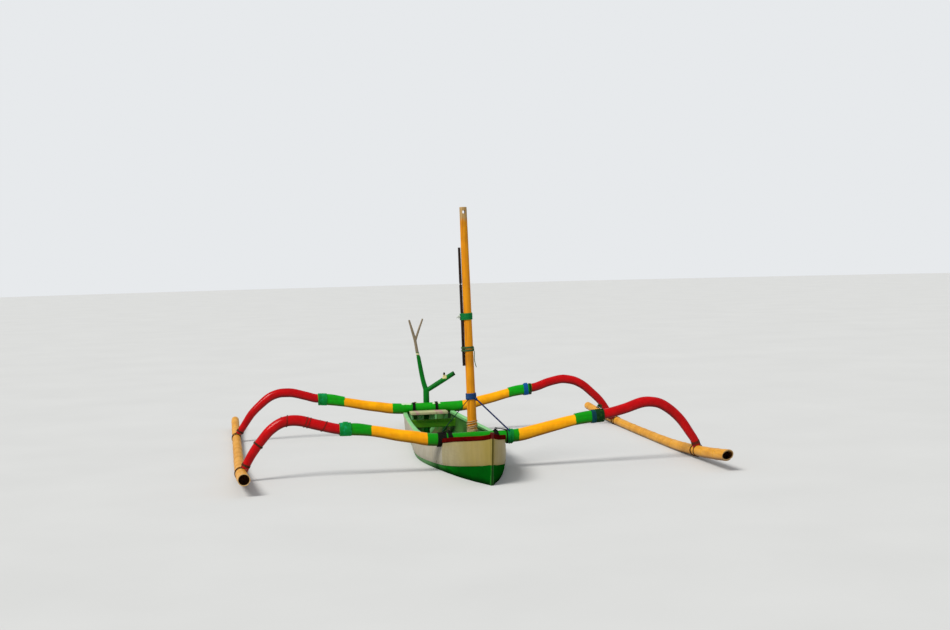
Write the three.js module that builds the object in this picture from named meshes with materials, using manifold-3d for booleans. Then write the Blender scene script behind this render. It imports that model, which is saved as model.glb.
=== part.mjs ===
// An outrigger canoe of the Lombok and Bali type, afloat: a narrow dugout hull with a raised
// plank on each side, two crosswise booms with drooping arms, two bamboo floats and a short mast.
// Millimetres. +X runs to the bow, +Y to port, +Z up. The origin is on the centreline at the water.

import * as THREE from "three";
import { mergeVertices } from "three/addons/utils/BufferGeometryUtils.js";
import Module from "manifold-3d";

const wasm = await Module();
wasm.setup();
const { Manifold, Mesh } = wasm;

const GAP = 0.3; // between pieces that touch
const BEYOND = 900; // a half size that runs past whatever it cuts across the canoe
const LENGTHWISE = 5000; // the same along the canoe and over the mast

// Paints and woods
const wood = (color, roughness) =>
  new THREE.MeshStandardMaterial({ color, roughness, metalness: 0 });
const GREEN = wood("#0b9a12", 0.45);
const PALE_GREEN = wood("#8fc98a", 0.6);
const CREAM = wood("#c9ba8c", 0.55);
const MAROON = wood("#5f0a0a", 0.5);
const OLIVE = wood("#5f5219", 0.6);
const ORANGE = wood("#ffa30c", 0.45);
const RED = wood("#c8060f", 0.4);
const TIMBER = wood("#dc8c1a", 0.6);
const DARK_POLE = wood("#2a1a12", 0.7);
const BAMBOO = wood("#e3a53c", 0.5);
const BLACK_ROPE = wood("#14120f", 0.9);
const BROWN_ROPE = wood("#6b4a26", 0.9);
const GREEN_ROPE = wood("#1d5a2a", 0.9);
const BLUE_ROPE = wood("#17324f", 0.85);

const group = new THREE.Group();

// Adds one closed solid as a named mesh.
function addPart(name, solid, material) {
  const { vertProperties, triVerts, numProp, numVert } = solid.getMesh();
  const positions = new Float32Array(numVert * 3);
  for (let i = 0; i < numVert; i++) {
    positions.set(vertProperties.subarray(i * numProp, i * numProp + 3), i * 3);
  }
  const geometry = new THREE.BufferGeometry();
  geometry.setAttribute("position", new THREE.BufferAttribute(positions, 3));
  geometry.setIndex(new THREE.BufferAttribute(triVerts.slice(), 1));
  const mesh = new THREE.Mesh(geometry.toNonIndexed(), material);
  mesh.geometry.computeVertexNormals();
  mesh.name = name;
  group.add(mesh);
}

// A closed solid from a list of rings, each with the same number of points, capped at both ends.
function loft(rings) {
  const count = rings[0].length;
  const points = rings.flat();
  const triangles = [];
  for (let i = 0; i + 1 < rings.length; i++) {
    for (let j = 0; j < count; j++) {
      const next = (j + 1) % count;
      const [a, b] = [i * count + j, i * count + next];
      const [c, d] = [a + count, b + count];
      triangles.push(a, b, d, a, d, c);
    }
  }
  for (const end of [0, rings.length - 1]) {
    const middle = new THREE.Vector3();
    rings[end].forEach((p) => middle.addScaledVector(p, 1 / count));
    const centre = points.push(middle) - 1;
    for (let j = 0; j < count; j++) {
      const [a, b] = [end * count + j, end * count + ((j + 1) % count)];
      triangles.push(...(end === 0 ? [centre, b, a] : [centre, a, b]));
    }
  }
  const vertProperties = new Float32Array(points.flatMap((p) => p.toArray()));
  const build = (order) =>
    new Manifold(new Mesh({ numProp: 3, vertProperties, triVerts: new Uint32Array(order) }));
  const solid = build(triangles);
  return solid.volume() > 0 ? solid : build(triangles.toReversed());
}

function boxBetween(x, y, z) {
  const [sizes, middles] = [[], []];
  for (const [low, high] of [x, y, z]) {
    sizes.push(high - low);
    middles.push((low + high) / 2);
  }
  return Manifold.cube(sizes, true).translate(middles);
}

// A round rod along a curve that lies in one plane, whose normal is `across`. `radius` is a
// function of the place along the curve, from 0 to 1, `from` and `to` pick a stretch of it, and
// `grow` is added to the radius.
function rod(curve, across, radius, { from = 0, to = 1, steps = 16, sides = 12, grow = 0 } = {}) {
  const rings = [];
  for (let i = 0; i <= steps; i++) {
    const t = from + ((to - from) * i) / steps;
    const centre = curve.getPointAt(THREE.MathUtils.clamp(t, 0, 1));
    const tangent = curve.getTangentAt(THREE.MathUtils.clamp(t, 0, 1));
    const up = new THREE.Vector3().crossVectors(tangent, across).normalize();
    const ring = [];
    for (let j = 0; j < sides; j++) {
      const angle = (2 * Math.PI * j) / sides;
      const size = radius(t) + grow;
      const point = centre.clone().addScaledVector(up, size * Math.cos(angle));
      ring.push(point.addScaledVector(across, size * Math.sin(angle)));
    }
    rings.push(ring);
  }
  return loft(rings);
}

// The place along a curve, from 0 to 1, where its coordinate `axis` reaches `value`.
function placeAt(curve, axis, value) {
  let [low, high] = [0, 1];
  const rising = curve.getPointAt(1)[axis] > curve.getPointAt(0)[axis];
  for (let i = 0; i < 30; i++) {
    const middle = (low + high) / 2;
    if (curve.getPointAt(middle)[axis] < value === rising) low = middle;
    else high = middle;
  }
  return (low + high) / 2;
}

const X = new THREE.Vector3(1, 0, 0);
const Y = new THREE.Vector3(0, 1, 0);

// Hull: a dugout log up to the paint line, a plank on each side above it, and a rail on top
const HULL_STATIONS = [
  // x, half breadth at the rail, height of the bottom, of the paint line and of the rail, lean
  [-2520, 17, 0, 128, 240, -0.2],
  [-2330, 95, -70, 105, 260, -0.1],
  [-1950, 195, -130, 68, 266, -0.03],
  [-1350, 288, -160, 46, 262, 0],
  [-700, 335, -170, 38, 250, 0],
  [0, 368, -172, 40, 248, 0],
  [600, 380, -172, 43, 256, 0],
  [1200, 358, -168, 50, 283, 0],
  [1750, 306, -158, 66, 326, 0],
  [2150, 238, -140, 105, 384, 0.03],
  [2440, 156, -105, 143, 425, 0.1],
  [2640, 72, -70, 172, 456, 0.17],
  [2735, 17, -40, 192, 480, 0.2],
];
const BELLY = 68; // the log swells out below the rails, most of all ahead of amidships
const BELLY_X = 900;
const BELLY_REACH = 800;
const HULL_WALL = 24;
const HULL_FLOOR = 34;
const HULL_STEPS = 26;
const SECTION_DEPTHS = [0, 0.02, 0.07, 0.16, 0.3, 0.5, 0.75, 1]; // shares of the hull's depth
const RAIL_HEIGHT = 42;
const RAIL_OUT = 12; // the rail stands out from the plank
const RAIL_IN = 14;
const POST_HALF = 17; // the stem and stern posts, half their thickness
const POST_DEPTH = 46;
const POST_NOSE = 14; // a post stands proud of the planks
const POST_FOOT = 8; // and reaches below the log
const POST_FOREFOOT = 60; // its lowest part is cut away to this height
const POST_HEAD = 12; // its head is over the rail

const column = (index) =>
  new THREE.CatmullRomCurve3(
    HULL_STATIONS.map((row) => new THREE.Vector3(row[0], row[index], 0)),
    false,
    "catmullrom",
    0.5,
  );
const [halfCurve, floorCurve, paintCurve, railCurve, leanCurve] = [1, 2, 3, 4, 5].map(column);

function hullStation(t) {
  const { x, y: half } = halfCurve.getPoint(t);
  return {
    x,
    half: Math.max(half, POST_HALF),
    floor: floorCurve.getPoint(t).y,
    paint: paintCurve.getPoint(t).y,
    rail: railCurve.getPoint(t).y,
    lean: leanCurve.getPoint(t).y,
  };
}

// The hull's outer or inner shape as one solid, up to the rail, or `raise` over it.
function hullShape({ out = 0, lift = 0, raise = 0, from = 0, to = 1 }) {
  const rings = [];
  for (let i = 0; i <= HULL_STEPS; i++) {
    const station = hullStation(from + ((to - from) * i) / HULL_STEPS);
    const bottom = station.floor + lift;
    const half = station.half + out;
    const belly = BELLY * Math.exp(-(((station.x - BELLY_X) / BELLY_REACH) ** 2));
    const side = (sign) => (depth) => {
      const z = bottom + depth * (station.rail - bottom);
      const y = half * Math.sqrt(1 - (1 - depth) ** 4) + 4 * depth * (1 - depth) * belly;
      return new THREE.Vector3(station.x + station.lean * z, sign * y, z);
    };
    const top = (sign) => (raise > 0 ? [side(sign)(1).add(new THREE.Vector3(0, 0, raise))] : []);
    const port = SECTION_DEPTHS.map(side(1)).reverse();
    const starboard = SECTION_DEPTHS.slice(1).map(side(-1));
    rings.push([...top(1), ...port, ...starboard, ...top(-1)]);
  }
  return loft(rings);
}

// Everything between two heights that follow the hull's own lines.
function hullBand(low, high) {
  const rings = [];
  for (let i = 0; i <= HULL_STEPS; i++) {
    const station = hullStation(i / HULL_STEPS);
    const reach = i === 0 ? -BEYOND : i === HULL_STEPS ? BEYOND : 0;
    const corner = (y, z) => new THREE.Vector3(station.x + reach, y, z);
    const [bottom, top] = [low(station), high(station)];
    rings.push([
      corner(-BEYOND, bottom),
      corner(BEYOND, bottom),
      corner(BEYOND, top),
      corner(-BEYOND, top),
    ]);
  }
  return loft(rings);
}

// A post along the stem or stern: a plate that follows the end of the hull.
function post(t, nose, grow) {
  const { x, floor, rail, lean } = hullStation(t);
  const ahead = Math.sign(nose);
  const edge = (offset, z) => [x + lean * z + offset, z];
  const [front, back] = [nose + ahead * grow, -ahead * (POST_DEPTH + grow)];
  const outline = new THREE.Shape();
  const low = floor - POST_FOOT - grow;
  const high = rail + POST_HEAD + grow;
  outline.moveTo(...edge(back, low));
  outline.lineTo(...edge(ahead * grow, low));
  outline.lineTo(...edge(front, low + POST_FOREFOOT));
  outline.lineTo(...edge(front, high));
  outline.lineTo(...edge(back, high));
  const width = 2 * (POST_HALF + grow);
  const plate = new THREE.ExtrudeGeometry(outline, { depth: width, bevelEnabled: false });
  plate.rotateX(Math.PI / 2).translate(0, width / 2, 0);
  return fromGeometry(plate);
}

// A three.js geometry as a solid.
function fromGeometry(geometry) {
  geometry.deleteAttribute("normal");
  geometry.deleteAttribute("uv");
  const merged = mergeVertices(geometry, 1e-3);
  const vertProperties = new Float32Array(merged.attributes.position.array);
  const index = merged.index.array;
  const triVerts = new Uint32Array(index);
  const solid = new Manifold(new Mesh({ numProp: 3, vertProperties, triVerts }));
  if (solid.volume() > 0) return solid;
  return new Manifold(new Mesh({ numProp: 3, vertProperties, triVerts: triVerts.toReversed() }));
}

const INNER_ENDS = { from: 0.05, to: 0.94 }; // the hollow stops short of the posts
const OPEN_TOP = 100; // the hollow's shape goes on over the rail
const outer = hullShape({});
const hollow = hullShape({ out: -HULL_WALL, lift: HULL_FLOOR, raise: OPEN_TOP, ...INNER_ENDS });
const stemPost = post(1, POST_NOSE, 0);
const sternPost = post(0, -POST_NOSE, 0);
const postCuts = post(1, POST_NOSE, GAP).add(post(0, -POST_NOSE, GAP));

// Crosswise rows: a boom, and an arm at each end that droops to the float. The branches are
// natural bends, so the two sides differ a little.
const BOOM_SHIFT = 20; // the middle of the booms lies to port of the centreline
const BOOM_Y = [0, 450, 600, 750, 1010, 1330]; // from its middle to past either end
const ROWS = [
  {
    row: "front",
    x: 1750,
    boom: { port: [312, 326, 358, 392, 447, 476], starboard: [312, 321, 351, 377, 431, 455] },
    boomEnd: { port: 1288, starboard: 1300 },
    arm: {
      port: {
        y: [1007, 1130, 1310, 1502, 1691, 1790, 1882, 1986, 2089, 2179, 2239, 2262],
        z: [463, 481, 492, 533, 588, 592, 571, 505, 405, 275, 177, 90],
      },
      starboard: {
        y: [1011, 1160, 1310, 1505, 1691, 1790, 1871, 1968, 2061, 2152, 2209, 2245],
        z: [441, 465, 461, 507, 557, 563, 545, 484, 382, 258, 159, 80],
      },
    },
    lash: { port: [1172, 1300], starboard: [1194, 1312] },
  },
  {
    row: "rear",
    x: -1350,
    boom: { port: [299, 318, 356, 388, 446, 474], starboard: [299, 310, 334, 358, 409, 449] },
    boomEnd: { port: 1213, starboard: 1303 },
    arm: {
      port: {
        y: [952, 1071, 1268, 1447, 1599, 1690, 1772, 1871, 1969, 2075, 2156, 2225],
        z: [455, 478, 492, 548, 576, 568, 548, 495, 409, 304, 191, 80],
      },
      starboard: {
        y: [1015, 1180, 1345, 1455, 1603, 1689, 1774, 1878, 1982, 2091, 2169, 2246],
        z: [429, 464, 470, 501, 541, 547, 543, 506, 426, 319, 208, 95],
      },
    },
    lash: { port: [1135, 1225], starboard: [1213, 1315] },
  },
];
const BOOM_RADIUS = [65, 62, 59, 53, 49]; // from amidships to its ends
const ARM_RADIUS = [46, 50, 51, 50, 45, 38]; // from the root, over the peak, to the tip
const LASH_THICKNESS = 8;
const ARM_LASH_THICKNESS = 10;
const LAP_SLACK = 24; // the half lap is cut a little longer than the overlap
const LAP_DEPTH = 200;
const SIDES = [
  ["port", 1],
  ["starboard", -1],
];

const rowPoints = (x, sign, y, z) =>
  y.map((value, i) => new THREE.Vector3(x, sign * value + BOOM_SHIFT, z[i]));

// Floats: bamboo poles that lie on the water, turn up at both ends, and in a little at the bow
const FLOAT_PATH = {
  x: [-2720, -2000, -1000, 0, 1000, 1800, 2400, 2690],
  y: [2275, 2275, 2273, 2270, 2267, 2260, 2248, 2242],
  z: [106, 63, 41, 36, 44, 83, 130, 159],
};
const FLOAT_RADIUS = [46, 50, 56]; // far end, middle, near end
const FLOAT_BORES = [30, 38]; // far end, near end
const FLOAT_BORE_DEPTH = 170;
const FLOAT_LASH_LENGTH = 90;

const mix = (values) => (t) => {
  const place = t * (values.length - 1);
  const low = Math.min(Math.floor(place), values.length - 2);
  return THREE.MathUtils.lerp(values[low], values[low + 1], place - low);
};

const floatRadius = mix(FLOAT_RADIUS);
const floats = {};
for (const [side, sign] of SIDES) {
  const { x: xs, y: ys, z: zs } = FLOAT_PATH;
  const path = new THREE.CatmullRomCurve3(
    xs.map((x, i) => new THREE.Vector3(x, sign * ys[i] + BOOM_SHIFT, zs[i])),
  );
  const length = path.getLength();
  const bore = { steps: 2, sides: 12 };
  const depth = FLOAT_BORE_DEPTH / length;
  const nearBore = rod(path, Y, () => FLOAT_BORES[1], { ...bore, from: 1 - depth, to: 1 });
  const farBore = rod(path, Y, () => FLOAT_BORES[0], { ...bore, from: 0, to: depth });
  const stretch = { steps: 18, sides: 12 };
  const pole = rod(path, Y, floatRadius, stretch).subtract(nearBore).subtract(farBore);
  floats[side] = { path, pole, grown: rod(path, Y, floatRadius, { ...stretch, grow: GAP }) };
  addPart(`float_${side}`, pole, BAMBOO);
}

let boomCuts = null;
const booms = [];
for (const { row, x, boom, boomEnd, arm, lash } of ROWS) {
  const portHalf = rowPoints(x, 1, BOOM_Y, boom.port);
  const starboardHalf = rowPoints(x, -1, BOOM_Y, boom.starboard).slice(1).reverse();
  const boomPath = new THREE.CatmullRomCurve3([...starboardHalf, ...portHalf]);
  const boomRadius = mix([...BOOM_RADIUS.slice(1).reverse(), ...BOOM_RADIUS]);
  const boomLength = (slack) =>
    boxBetween(
      [-LENGTHWISE, LENGTHWISE],
      [BOOM_SHIFT - boomEnd.starboard - slack, BOOM_SHIFT + boomEnd.port + slack],
      [-BEYOND, BEYOND],
    );
  let boomSolid = rod(boomPath, X, boomRadius, { steps: 20, sides: 14 }).intersect(boomLength(0));
  const cut = rod(boomPath, X, boomRadius, { steps: 20, sides: 14, grow: GAP })
    .intersect(boomLength(GAP));
  boomCuts = boomCuts ? boomCuts.add(cut) : cut;
  booms.push({ boomPath, boomRadius, cut });

  for (const [side, sign] of SIDES) {
    const { y: ys, z: zs } = arm[side];
    const armPath = new THREE.CatmullRomCurve3(rowPoints(x, sign, ys, zs));
    const armRadius = mix(ARM_RADIUS);
    const lapMiddle = placeAt(armPath, "y", sign * (ys[0] + boomEnd[side]) * 0.5 + BOOM_SHIFT);
    const centre = armPath.getPointAt(lapMiddle);
    const slope = Math.atan2(zs[2] - zs[0], ys[2] - ys[0]) * sign;
    const lapLength = boomEnd[side] - ys[0];
    // The half lap: the boom keeps the lower half of its end, and the arm's root lies on it.
    const lapBox = (above) =>
      Manifold.cube([BEYOND, lapLength + LAP_SLACK, LAP_DEPTH], true)
        .translate([0, 0, (above ? 1 : -1) * (LAP_DEPTH - GAP) / 2])
        .rotate([THREE.MathUtils.radToDeg(slope), 0, 0])
        .translate(centre.toArray());
    boomSolid = boomSolid.subtract(lapBox(true));
    const armSolid = rod(armPath, X, armRadius, { steps: 18 })
      .subtract(lapBox(false))
      .subtract(cut.subtract(lapBox(true)))
      .subtract(floats[side].grown);
    const armBody = armSolid.decompose().sort((a, b) => b.volume() - a.volume())[0];
    addPart(`arm_${row}_${side}`, armBody, RED);

    // The lashing goes round both: its middle is halfway from the boom's belly to the arm's back.
    const armGrown = rod(armPath, X, armRadius, { steps: 18, grow: GAP });
    const armClear = armGrown.add(armGrown.translate([0, 0, -GAP])); // its tip points down
    const ends = lash[side].map((y) => {
      const [over, under] = [armPath, boomPath].map((path) => placeAt(path, "y", sign * y + BOOM_SHIFT));
      const back = armPath.getPointAt(over).z + armRadius(over);
      const belly = boomPath.getPointAt(under).z - boomRadius(under);
      return { size: (back - belly) / 2, middle: armPath.getPointAt(over).setZ((back + belly) / 2) };
    });
    const lashPath = new THREE.LineCurve3(ends[0].middle, ends[1].middle);
    const lashRadius = mix(ends.map(({ size }) => size + ARM_LASH_THICKNESS));
    const lashing = rod(lashPath, X, lashRadius, { steps: 2, sides: 14 });
    addPart(`arm_lashing_${row}_${side}`, lashing.subtract(cut).subtract(armClear), BROWN_ROPE);

    const place = placeAt(floats[side].path, "x", x);
    const share = FLOAT_LASH_LENGTH / 2 / floats[side].path.getLength();
    const ring = { from: place - share, to: place + share, steps: 2, sides: 12 };
    const floatLashing = rod(floats[side].path, Y, floatRadius, { ...ring, grow: LASH_THICKNESS })
      .subtract(floats[side].grown)
      .subtract(armClear);
    const lashBody = floatLashing.decompose().sort((a, b) => b.volume() - a.volume())[0];
    addPart(`float_lashing_${row}_${side}`, lashBody, BROWN_ROPE);
  }
  addPart(`boom_${row}`, boomSolid, ORANGE);
}

// The hull's pieces, with the notches for the booms
const shell = outer.subtract(hollow).subtract(postCuts).subtract(boomCuts);
const bottom = shell.intersect(hullBand(() => -BEYOND, (s) => s.paint - GAP / 2));
addPart("hull_bottom", bottom, GREEN);
addPart("stem_post", stemPost, OLIVE);
addPart("stern_post", sternPost, OLIVE);

const kerf = boxBetween([-LENGTHWISE, LENGTHWISE], [-GAP / 2, GAP / 2], [-BEYOND, BEYOND]);
const middleOf = (solid, axis) => {
  const { min, max } = solid.boundingBox();
  return (min[axis] + max[axis]) / 2;
};
const sideOf = (solid) => (middleOf(solid, 1) > 0 ? "port" : "starboard");
const upper = shell.intersect(hullBand((s) => s.paint + GAP / 2, (s) => s.rail - RAIL_HEIGHT));
for (const plank of upper.subtract(kerf).decompose()) {
  addPart(`side_plank_${sideOf(plank)}`, plank, CREAM);
}
// The lengths of a rail butt under the booms.
const slabAt = (x, half) => boxBetween([x - half, x + half], [-BEYOND, BEYOND], [-BEYOND, BEYOND]);
const railRing = hullShape({ out: RAIL_OUT })
  .subtract(hullShape({ out: -HULL_WALL - RAIL_IN, raise: OPEN_TOP, ...INNER_ENDS }))
  .intersect(hullBand((s) => s.rail - RAIL_HEIGHT + GAP, () => BEYOND))
  .subtract(postCuts)
  .subtract(boomCuts)
  .subtract(kerf)
  .subtract(slabAt(ROWS[0].x, GAP / 2))
  .subtract(slabAt(ROWS[1].x, GAP / 2));
const RAIL_PAINTS = { fore: MAROON, middle: PALE_GREEN, aft: CREAM };
for (const rail of railRing.decompose()) {
  const x = middleOf(rail, 0);
  const stretch = x > ROWS[0].x ? "fore" : x < ROWS[1].x ? "aft" : "middle";
  addPart(`rail_${stretch}_${sideOf(rail)}`, rail, RAIL_PAINTS[stretch]);
}

// Ribs and the mast step stand on the hull's floor, and fit its inside
const inside = hullShape({ out: -HULL_WALL - GAP, lift: HULL_FLOOR + GAP, ...INNER_ENDS });
const RIB_DEPTHS = { side: 34, floor: 40 };
const ribInside = hullShape({
  out: -HULL_WALL - RIB_DEPTHS.side,
  lift: HULL_FLOOR + RIB_DEPTHS.floor,
  raise: OPEN_TOP,
  ...INNER_ENDS,
});
const RIBS = [
  // name, x
  ["rib_fore", 900],
  ["rib_middle", -80],
  ["rib_aft", -1900],
];
const RIB_HALF = 16;
const underRails = hullBand(() => -BEYOND, (s) => s.rail - RAIL_HEIGHT - 1);
for (const [name, x] of RIBS) {
  const frame = inside.intersect(slabAt(x, RIB_HALF)).subtract(ribInside).intersect(underRails);
  addPart(name, frame, PALE_GREEN);
}

// Thwart: a cream board on four short posts, over a green board that spans the hull
const THWART = { x: -1120, y: [-252, 196], z: [254, 286], half: 95 };
const RISER = { half: 14, z: [95, 190] };
const THWART_POSTS = [
  // name, y, half width
  ["thwart_post_starboard", -232, 17],
  ["thwart_post_inner_starboard", -128, 36],
  ["thwart_post_inner_port", 8, 34],
  ["thwart_post_port", 171, 22],
];
const riser = boxBetween([THWART.x - RISER.half, THWART.x + RISER.half], [-BEYOND, BEYOND], RISER.z);
addPart("thwart_riser", riser.intersect(inside), GREEN);
const boardLength = [THWART.x - THWART.half, THWART.x + THWART.half];
addPart("thwart", boxBetween(boardLength, THWART.y, THWART.z), CREAM);
for (const [name, y, half] of THWART_POSTS) {
  const depth = [THWART.x - RISER.half, THWART.x + RISER.half];
  const ends = [RISER.z[1] + GAP, THWART.z[0] - GAP];
  addPart(name, boxBetween(depth, [y - half, y + half], ends), PALE_GREEN);
}

// Mast: a tapered pole stepped on the floor behind the front boom, with a thin pole at its side
const MAST_X = 1618;
const MAST_Y = 28;
const MAST_LEAN = 0.95; // degrees, to starboard
const MAST_HEEL = -70;
const MAST_TOP = 2571;
const MAST_RADII = [52, 46.5, 43, 40.5, 39.5, 38.5, 35];
const MAST_HEAD_CUT = 2;
const MAST_PIVOT = MAST_HEEL + MAST_RADII[0]; // the round heel turns in its step here
const HEEL_EASE = 0.5;
const HALYARD_HOLE = { z: 2520, half: 14 };
const SIDE_POLE = { radius: 14, z: [1015, 2175], clear: 1 };
const MAST_LASHINGS = [
  // name, foot, height, over the side pole too, material
  ["mast_lashing_blue", 677, 70, false, BLUE_ROPE],
  ["mast_lashing_middle", 1153, 52, true, GREEN_ROPE],
  ["mast_lashing_upper", 1460, 78, true, GREEN],
];
const cylinder = (radius, height, sides = 16) => Manifold.cylinder(height, radius, radius, sides);
const mastPath = new THREE.LineCurve3(
  new THREE.Vector3(MAST_X, 0, MAST_HEEL),
  new THREE.Vector3(MAST_X, 0, MAST_TOP),
);
const mastRadius = mix(MAST_RADII);
const heel = Manifold.sphere(MAST_RADII[0] - HEEL_EASE, 16).translate([MAST_X, 0, MAST_PIVOT]);
const mastPole = rod(mastPath, Y, mastRadius, { steps: 6, sides: 16 })
  .intersect(boxBetween([0, LENGTHWISE], [-BEYOND, BEYOND], [MAST_PIVOT, MAST_TOP - MAST_HEAD_CUT]))
  .add(heel);
const halyardHole = boxBetween(
  [0, LENGTHWISE],
  [-HALYARD_HOLE.half, HALYARD_HOLE.half],
  [HALYARD_HOLE.z - HALYARD_HOLE.half, HALYARD_HOLE.z + HALYARD_HOLE.half],
);
// Everything on the mast is made upright over the centreline, then set down in its place.
const addToMast = (name, solid, material) =>
  addPart(
    name,
    solid
      .translate([0, 0, -MAST_PIVOT])
      .rotate([MAST_LEAN, 0, 0])
      .translate([0, MAST_Y, MAST_PIVOT]),
    material,
  );
addToMast("mast", mastPole.subtract(halyardHole), TIMBER);
const mastClear = rod(mastPath, Y, mastRadius, { steps: 6, sides: 16, grow: GAP });
const poleY = -(mastRadius(0.5) + SIDE_POLE.radius + SIDE_POLE.clear);
const poleLength = SIDE_POLE.z[1] - SIDE_POLE.z[0];
const stick = (grow) =>
  cylinder(SIDE_POLE.radius + grow, poleLength, 12).translate([MAST_X, poleY, SIDE_POLE.z[0]]);
const sidePole = stick(0);
const sidePoleClear = stick(GAP);
addToMast("mast_side_pole", sidePole.subtract(mastClear), DARK_POLE);
for (const [name, foot, height, both, material] of MAST_LASHINGS) {
  const share = (foot - MAST_HEEL) / (MAST_TOP - MAST_HEEL);
  const around = [cylinder(mastRadius(share) + LASH_THICKNESS, height).translate([MAST_X, 0, foot])];
  if (both) {
    const size = SIDE_POLE.radius + LASH_THICKNESS;
    around.push(cylinder(size, height, 16).translate([MAST_X, poleY, foot]));
  }
  addToMast(name, Manifold.hull(around).subtract(mastClear).subtract(sidePoleClear), material);
}
const STEP = { half: 90, top: MAST_HEEL - GAP };
const step = boxBetween(
  [MAST_X - STEP.half, MAST_X + STEP.half],
  [MAST_Y - STEP.half, MAST_Y + STEP.half],
  [-BEYOND, STEP.top],
);
addPart("mast_step", step.intersect(inside), OLIVE);

// Lashings of the booms: black rope round the front boom at each rail, and round the rear boom
const BOOM_LASHINGS = [
  // name, row, y, half width
  ["boom_lashing_front_port", 0, 222, 29],
  ["boom_lashing_front_starboard", 0, -222, 29],
  ["boom_lashing_rear_port", 1, 94, 23],
  ["boom_lashing_rear_starboard", 1, -166, 16],
];
for (const [name, index, y, half] of BOOM_LASHINGS) {
  const { boomPath, boomRadius } = booms[index];
  const places = [y - half, y + half].map((value) => placeAt(boomPath, "y", value));
  const ring = { steps: 1, sides: 14, grow: LASH_THICKNESS, from: places[0], to: places[1] };
  const wrap = rod(boomPath, X, boomRadius, ring);
  addPart(name, wrap.subtract(booms[index].cut), BLACK_ROPE);
}

// Crutch: a forked branch that stands on the floor against the rear boom
const CRUTCH_X = -1454;
const CRUTCH_LIMBS = [
  // points of y and z, and radii from foot to tip
  { points: [[-10, -145], [-7, 215], [-5, 520]], radii: [34, 33, 33] },
  { points: [[-8, 505], [-36, 605], [-62, 745], [-87, 905]], radii: [29, 26, 24, 21] },
  { points: [[-6, 494], [79, 542], [193, 609], [340, 694]], radii: [26, 28, 28, 26] },
  { points: [[-86, 895], [-103, 975], [-122, 1095], [-188, 1345]], radii: [18, 15, 14, 10] },
  { points: [[-122, 1085], [-82, 1205], [-24, 1355]], radii: [12, 11, 9] },
];
let crutch = null;
for (const { points, radii } of CRUTCH_LIMBS) {
  const knots = points.map(([y, z]) => new THREE.Vector3(CRUTCH_X, y, z));
  const path = new THREE.CatmullRomCurve3(knots);
  const limb = rod(path, X, mix(radii), { steps: 5, sides: 10 });
  crutch = crutch ? crutch.add(limb) : limb;
}
const overWater = boxBetween([-LENGTHWISE, 0], [-BEYOND, BEYOND], [0, BEYOND]);
addPart("crutch", crutch.subtract(outer.subtract(inside).subtract(overWater)), GREEN);

export default group;
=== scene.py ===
"""Looks of an outrigger canoe of the Lombok and Bali type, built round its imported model.
Metres. +X runs to the bow, +Y to port, +Z up, and the floor lies at the waterline, z = 0."""

import math
from collections import namedtuple

import bpy
import numpy as np
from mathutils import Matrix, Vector, noise


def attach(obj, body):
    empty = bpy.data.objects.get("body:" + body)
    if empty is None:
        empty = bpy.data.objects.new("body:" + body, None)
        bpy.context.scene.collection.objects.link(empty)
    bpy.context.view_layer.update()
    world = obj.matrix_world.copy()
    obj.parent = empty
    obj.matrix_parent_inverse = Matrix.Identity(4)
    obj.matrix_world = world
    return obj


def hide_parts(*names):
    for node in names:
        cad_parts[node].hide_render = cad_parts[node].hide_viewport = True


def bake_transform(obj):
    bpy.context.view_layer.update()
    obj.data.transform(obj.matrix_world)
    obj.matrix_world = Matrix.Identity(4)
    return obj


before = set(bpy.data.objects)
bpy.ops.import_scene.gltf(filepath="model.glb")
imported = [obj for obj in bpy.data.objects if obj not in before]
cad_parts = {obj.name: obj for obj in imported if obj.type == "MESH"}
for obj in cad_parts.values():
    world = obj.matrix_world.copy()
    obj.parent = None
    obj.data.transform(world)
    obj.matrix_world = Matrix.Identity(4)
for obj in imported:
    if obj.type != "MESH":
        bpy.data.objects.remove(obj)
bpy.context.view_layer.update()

# Camera: it stands ahead of the bow, a little to starboard, at the height of a person's head.
# The horizon tilts slightly, as in the photograph.
camera_data = bpy.data.cameras.new("camera")
camera_data.lens = 54.808
camera_data.sensor_width = 36
camera_data.clip_end = 300
camera = bpy.data.objects.new("camera", camera_data)
camera.location = (15.596, -2.347, 2.101)
camera.rotation_euler = [math.radians(angle) for angle in (87.6075, 1.4836, 80.0995)]
bpy.context.scene.collection.objects.link(camera)
bpy.context.scene.camera = camera

# Hull lines: the canoe is one log up to the paint line, with a plank and a rail on each side.
# Each row is a station: place along the hull, half breadth, heights of bottom, paint line and
# rail, and how far the section leans forward for each metre of height.
HULL_STATIONS = np.array(
    [
        [-2.520, 0.017, 0.000, 0.128, 0.240, -0.20],
        [-2.330, 0.095, -0.070, 0.105, 0.260, -0.10],
        [-1.950, 0.195, -0.130, 0.068, 0.266, -0.03],
        [-1.350, 0.288, -0.160, 0.046, 0.262, 0.00],
        [-0.700, 0.335, -0.170, 0.038, 0.250, 0.00],
        [0.000, 0.368, -0.172, 0.040, 0.248, 0.00],
        [0.600, 0.380, -0.172, 0.043, 0.256, 0.00],
        [1.200, 0.358, -0.168, 0.050, 0.283, 0.00],
        [1.750, 0.306, -0.158, 0.066, 0.326, 0.00],
        [2.150, 0.238, -0.140, 0.105, 0.384, 0.03],
        [2.440, 0.156, -0.105, 0.143, 0.425, 0.10],
        [2.640, 0.072, -0.070, 0.172, 0.456, 0.17],
        [2.735, 0.017, -0.040, 0.192, 0.480, 0.20],
    ]
)
Station = namedtuple("Station", "x half bottom paint rail lean")
END_HALF = 0.017
BELLY = 0.068
BELLY_X = 0.900
BELLY_REACH = 0.800
HULL_WALL = 0.024
HULL_FLOOR = 0.034
HOLLOW = (0.05, 0.94)
RAIL_HEIGHT = 0.042


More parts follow.
